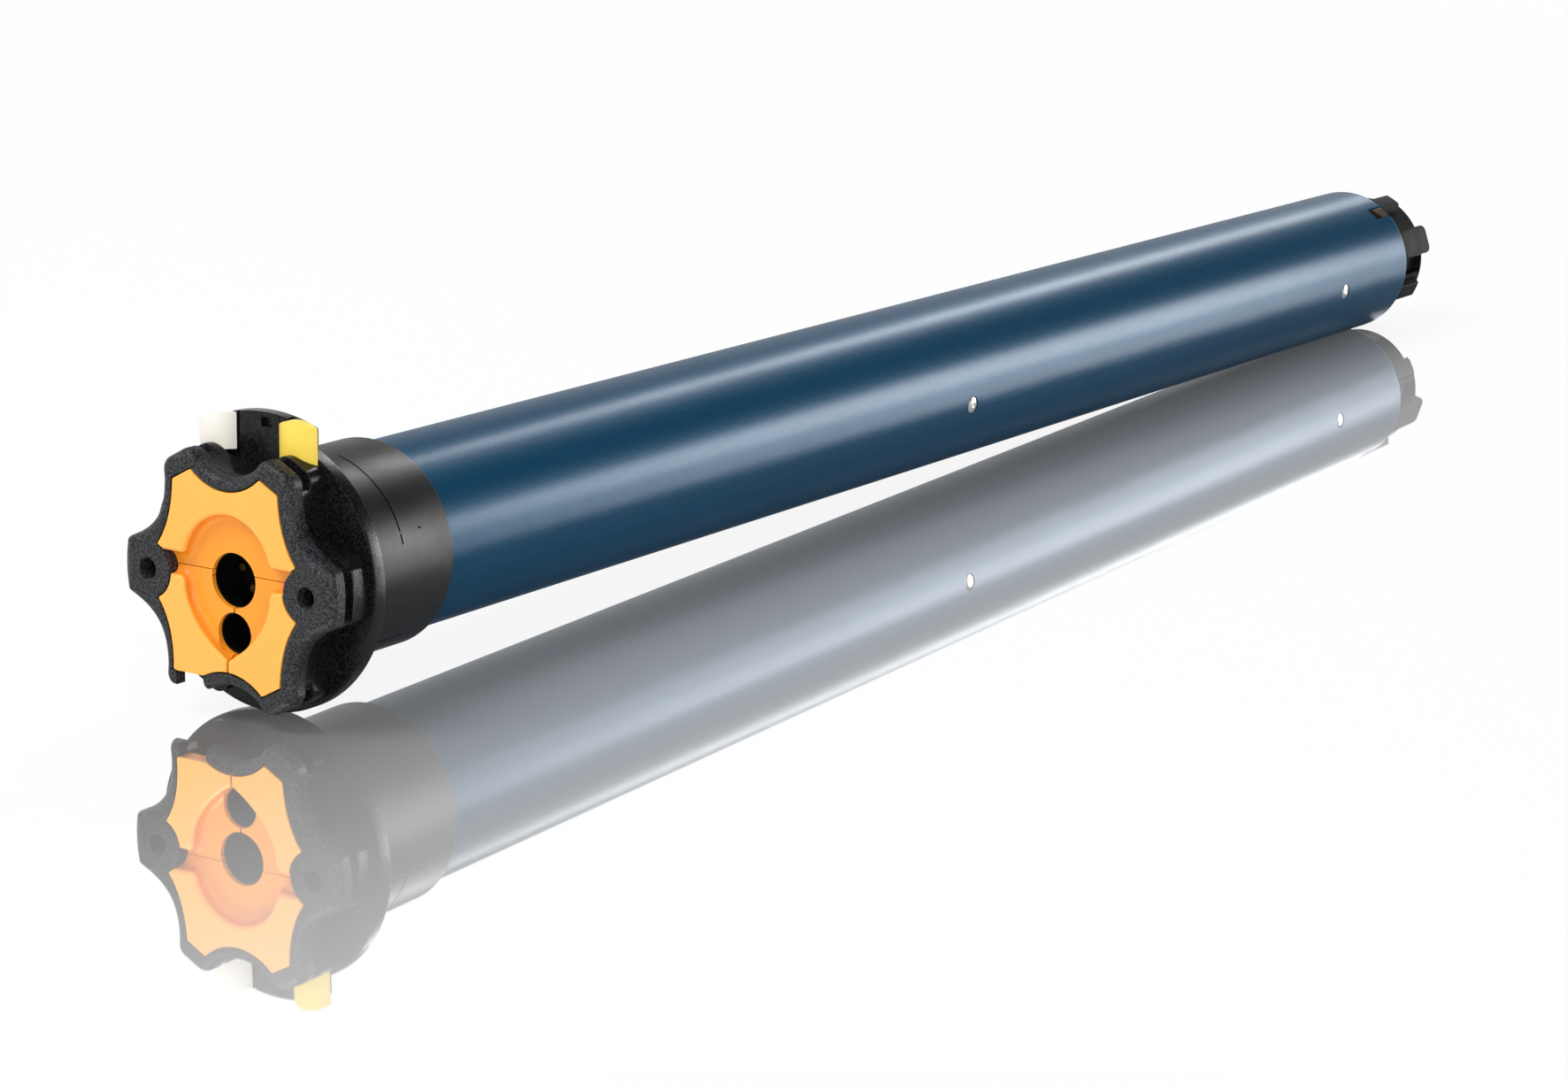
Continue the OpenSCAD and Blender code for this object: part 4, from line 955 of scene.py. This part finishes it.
def tube():
    b, r = TUBE_R - WALL, TUBE_R
    length = TUBE_END - TUBE_START - 0.8
    ys = [TUBE_START + 0.3 + i * length / TUBE_STEPS for i in range(TUBE_STEPS + 1)]
    prof = [(b, TUBE_START), (r - 0.3, TUBE_START)] + [(r, y) for y in ys]
    prof += [(r - 0.12, TUBE_END - 0.1), (r - 0.4, TUBE_END), (b, TUBE_END)]
    prof += [(b, y) for y in reversed(ys[1:-1])]
    ob = revolve("tube_skin", prof, 192)
    hole = [(RIVET_HOLE, 16), (RIVET_HOLE, 30)]
    cutters = [spoke_mesh("hole", hole, y, a, 32) for y, a in RIVETS + HEAD_RIVETS]
    cutters.append(sector_mesh("notch", 15, 30, *NOTCH, TUBE_END - NOTCH_DEPTH, TUBE_END + 2))
    combine(ob, cutters)
    clean(ob, 0.2)
    return piece(ob, "root", "tube_paint", ["motor_tube"], 30)


def rivets():
    r, wide = TUBE_R, RIVET_HEAD
    foot = [(RIVET_SHANK, RIVET_FOOT), (RIVET_SHANK, r - 1), (wide, r - 1)]
    domed = foot + [(wide, r - 0.35)]
    for t in (15, 35, 55, 70):
        domed.append((wide * math.cos(math.radians(t)), r - 0.35 + 0.5 * math.sin(math.radians(t))))
    domed += [(0.55, r + 0.14), (0.3, r + 0.02), (0.0001, r - 0.02)]
    flat = foot + [(wide, r - 0.2), (wide - 0.2, r), (0.0001, r)]
    parts = [spoke_mesh("rivet", domed, y, a) for y, a in RIVETS]
    parts += [spoke_mesh("rivet", flat, y, a) for y, a in HEAD_RIVETS]
    return piece(join("rivets_skin", parts), "root", "rivet_steel", ["tube_rivets"], 50)


# ---------------------------------------------------------------- far end
def end_cap():
    inside, outside, back = CAP_BORE, CAP_R, TUBE_END - NOTCH_DEPTH
    ob = revolve("cap_ring", [
        (inside, back), (outside, back), (outside, TUBE_END - 0.3), (outside - 0.3, TUBE_END),
        (inside + 0.3, TUBE_END), (inside, TUBE_END - 0.3)], 128)
    key = sector_mesh("key", *KEY_R, NOTCH[0] + 1, NOTCH[1] - 1, back, TUBE_END - 0.02, 16)
    wedge = [(0, -3), (0, 5.5), (16, -4.5), (16, -3)]
    points = [lift(turned(r, t, NOTCH[0]), back + y) for r in (10, 40) for t, y in wedge]
    faces = [(0, 1, 2, 3), (7, 6, 5, 4), (0, 4, 5, 1), (1, 5, 6, 2), (2, 6, 7, 3), (3, 7, 4, 0)]
    combine(key, [make("slant", points, faces)])
    clean(key)
    bevel(key, 0.25)
    return piece(join("end_cap_skin", [ob, key]), "root", "cap_plastic", ["end_bearing_cap"])


def lug(angle):
    """One lug: a block with rounded far corners and a curved back, drawn outwards from the hub."""
    reach, half = DRIVE_END - DRIVE_Y, LUG_W / 2
    outline = tidy([(-half, 0), (half, 0)]
                   + fillet((half, 0), (half, reach), (-half, reach), LUG_SOFT, 8)
                   + fillet((half, reach), (-half, reach), (-half, 0), LUG_SOFT, 8))
    # (growth, radius) from the foot in the hub to the rounded back
    rings = ((0, HUB_R - 3), (0, LUG_R - 0.6), (-0.18, LUG_R - 0.17), (-0.6, LUG_R))
    n, last = len(outline), len(rings) - 1
    verts = []
    for g, r in rings:
        for s, y in grown(outline, g):
            verts.append(lift(turned(math.sqrt(r * r - s * s), s, angle), DRIVE_Y + max(y, 0.0)))
    faces = bands(n, last)
    for j in (last, 0):
        tris = tessellate_polygon([[Vector((s, y, 0)) for s, y in grown(outline, rings[j][0])]])
        faces += [tuple(j * n + k for k in t) for t in tris]
    return make("lug", verts, faces)


def small_lug(angle):
    """A narrow lug with sloping sides."""
    half = [(HUB_R - 2.6, 3.9), (HUB_R, 3.5), (LUG_R + 0.2, 2.5)]
    pts = [turned(r, -t, angle) for r, t in half] + [turned(r, t, angle) for r, t in reversed(half)]
    ob = plate("small_lug", pts, [(0, DRIVE_Y), (0, TUBE_END + SMALL_REACH)])
    combine(ob, [cylinder("round", LUG_R, DRIVE_Y - 1, DRIVE_END, n=240)], "INTERSECT")
    clean(ob, 0.2)
    return bevel(ob, 0.3, 3, 25)


def rib(angle):
    """A web between the hub's bore and its wall."""
    verts = [lift(turned(r, t, angle), y)
             for r in (12, 19) for y in (DRIVE_Y + 3, DRIVE_END - 8) for t in (-0.9, 0.9)]
    return bevel(make("rib", verts, BOX_FACES), 0.2)


def drive():
    r, bore, sleeve, y0, y1 = HUB_R, HUB_BORE, HUB_SLEEVE, DRIVE_Y, DRIVE_END
    hub = revolve("hub", [
        (bore, y0), (r - 0.3, y0), (r, y0 + 0.3), (r, y1 - 2.4), (r - 0.4, y1 - 2),
        (r - 2.6, y1 - 2), (r - 3, y1 - 2.4), (r - 3, y0 + 4), (sleeve, y0 + 4),
        (sleeve, y1 - 7.8), (sleeve - 0.3, y1 - 7.5), (bore, y1 - 7.5)], 144)
    turns = (LUG_TURN, LUG_TURN + 180)
    # A window beside each wide lug, and a lower wall between the narrow lugs
    combine(hub, [
        sector_mesh("window", r - 2.5, r + 1, a - 29.5, a - 14, y0 + 0.6, y1 - 3.2)
        for a in turns])
    combine(hub, [
        sector_mesh("low", r - 1.7, r + 1, a + SMALL_LUG + 9, a + 171 - SMALL_LUG, y0 - 1, y1, 36)
        for a in turns])
    clean(hub, 0.2)
    parts = [hub]
    for turn in turns:
        parts += [lug(turn), small_lug(turn + SMALL_LUG), small_lug(turn - SMALL_LUG)]
        parts += [rib(turn + step) for step in (-SMALL_LUG, 0, SMALL_LUG)]
    return piece(join("drive_skin", parts), "output", "drive_plastic", ["output_drive"])


# ---------------------------------------------------------------- stage
FLOOR_Z, FLOOR_HALF = -33.72 * MM, 60.0
# The flange touches the floor at y = REST_Y m, and the tube's end does REST_SPAN mm behind it
REST_Y, REST_SPAN = 0.015, 570
# The floor's polish fades away from the object: x from and to, and the mirror's share at each
POLISH = (0.0, 0.17, 0.95, 0.5)
# The mirrored studio's dim side and ceiling: range of the direction, and brightness at each end
DIM, SIDE_DIR = 0.08, (0.6, 0.7, 0.39)
DIM_SIDE, DIM_CEILING = (0.62, 0.86, 1.0, DIM), (0.38, 0.5, 1.0, DIM)


def floor():
    """A plain polished floor that the flange and the tube's end touch."""
    slope = (FLANGE_R - TUBE_R) / REST_SPAN
    pts = [(x, y, FLOOR_Z + (y - REST_Y) * slope)
           for x in (-FLOOR_HALF, FLOOR_HALF) for y in (-FLOOR_HALF, FLOOR_HALF)]
    me = bpy.data.meshes.new("floor")
    me.from_pydata(pts, [], [(0, 2, 3, 1)])
    ob = placed("floor", me)
    mat = bpy.data.materials.new("floor")
    mat.use_nodes = True
    mat.node_tree.nodes.clear()
    m = Nodes(mat.node_tree)
    plain = m.add("BsdfDiffuse", Color=(0.9, 0.9, 0.9, 1))
    mirror = m.add("BsdfGlossy", Color=(1, 1, 1, 1), Roughness=0.02)
    white = m.add("Emission", Strength=1.0)
    polished = m.overlay(m.span(m.axis("X"), *POLISH), white.outputs[0], mirror.outputs[0])
    weight = m.span(m.add("LightPath").outputs["Is Camera Ray"], 0, 1, 0.7, 0.9)
    share = m.calc("MULTIPLY", m.background_rays(), weight)
    surface = m.overlay(share, plain.outputs[0], polished)
    m.link(surface, m.add("OutputMaterial").inputs["Surface"])
    me.materials.append(mat)
    return ob


def world():
    """A white background. In reflections the studio has a dim side and a dim ceiling."""
    w = bpy.data.worlds.new("world")
    bpy.context.scene.world = w
    w.use_nodes = True
    w.node_tree.nodes.clear()
    m = Nodes(w.node_tree)
    lit = m.add("Background", Color=(0.95, 0.97, 1.0, 1), Strength=0.4)
    seen = m.add("Background", Color=(1, 1, 1, 1))
    toward = m.add("VectorMath")
    toward.operation = "DOT_PRODUCT"
    toward.inputs[1].default_value = Vector(SIDE_DIR).normalized()
    m.link(m.coords.outputs["Generated"], toward.inputs[0])
    side = m.span(toward.outputs["Value"], *DIM_SIDE)
    ceiling = m.span(m.axis("Z", "Generated"), *DIM_CEILING)
    studio = m.calc("MULTIPLY", side, ceiling)
    camera_ray = m.add("LightPath").outputs["Is Camera Ray"]
    m.link(m.mix(camera_ray, studio, 1.0), seen.inputs["Strength"])
    surface = m.overlay(m.background_rays(), lit.outputs[0], seen.outputs[0])
    m.link(surface, m.add("OutputWorld").inputs["Surface"])


def area_light(name, at, toward, size, power, color=(1, 1, 1)):
    d = bpy.data.lights.new(name, "AREA")
    d.energy = power
    d.color = color
    d.shape = "RECTANGLE"
    d.size, d.size_y = size
    ob = placed(name, d)
    ob.location = at
    ob.rotation_mode = "QUATERNION"
    ob.rotation_quaternion = (Vector(toward) - Vector(at)).to_track_quat("-Z", "Y")
    return ob


# Fitted to the photograph: its width and the focal length in pixels, the eye in m, two directions
PHOTO_WIDTH, FOCAL, SENSOR = 1772, 4595.5, 36
EYE = (0.6096, -0.6898, 0.2277)
RIGHT, AHEAD = (0.8327, 0.5536, 0.0146), (-0.5359, 0.8122, -0.2304)


def camera():
    d = bpy.data.cameras.new("camera")
    d.sensor_width = SENSOR
    d.sensor_fit = "HORIZONTAL"
    d.lens = FOCAL / PHOTO_WIDTH * SENSOR
    d.clip_start, d.clip_end = 0.01, 200
    ob = placed("camera", d)
    ahead = Vector(AHEAD).normalized()
    up = Vector(RIGHT).normalized().cross(ahead).normalized()
    right = ahead.cross(up).normalized()
    ob.matrix_world = Matrix.Translation(EYE) @ Matrix((right, up, -ahead)).transposed().to_4x4()
    bpy.context.scene.camera = ob


camera()
bpy.context.scene.view_settings.view_transform = "Standard"
world()
floor()
area_light("key", (-0.6, -1.0, 1.9), (0, 0.1, 0), (0.9, 0.9), 34)
area_light("front", (0.9, -1.8, 0.5), (0, 0.2, 0), (1.2, 1.2), 6)
area_light("right", (2.0, -1.35, 0.5), (0, 0, 0), (0.9, 0.9), 12)
area_light("strip", (-0.45, 2.4, 1.5), (0, 0.5, 0), (0.28, 1.2), 18)
box = area_light("side", (1.65, 2.81, 0.38), (0, 0.3, 0.1), (1.0, 0.72), 50, (1, 0.97, 0.94))
box.visible_diffuse = False

head()
cover_upper()
cover_lower(-1)
cover_lower(1)
button("white_button", BUTTONS[0], (-9.5, 37.4), 12, "white_plastic")
button("yellow_button", BUTTONS[1], (11.9, 37.9), 9.5, "yellow_plastic")
button_spring("white_button", BUTTONS[0])
button_spring("yellow_button", BUTTONS[1])
crown()
tube()
rivets()
end_cap()
drive()
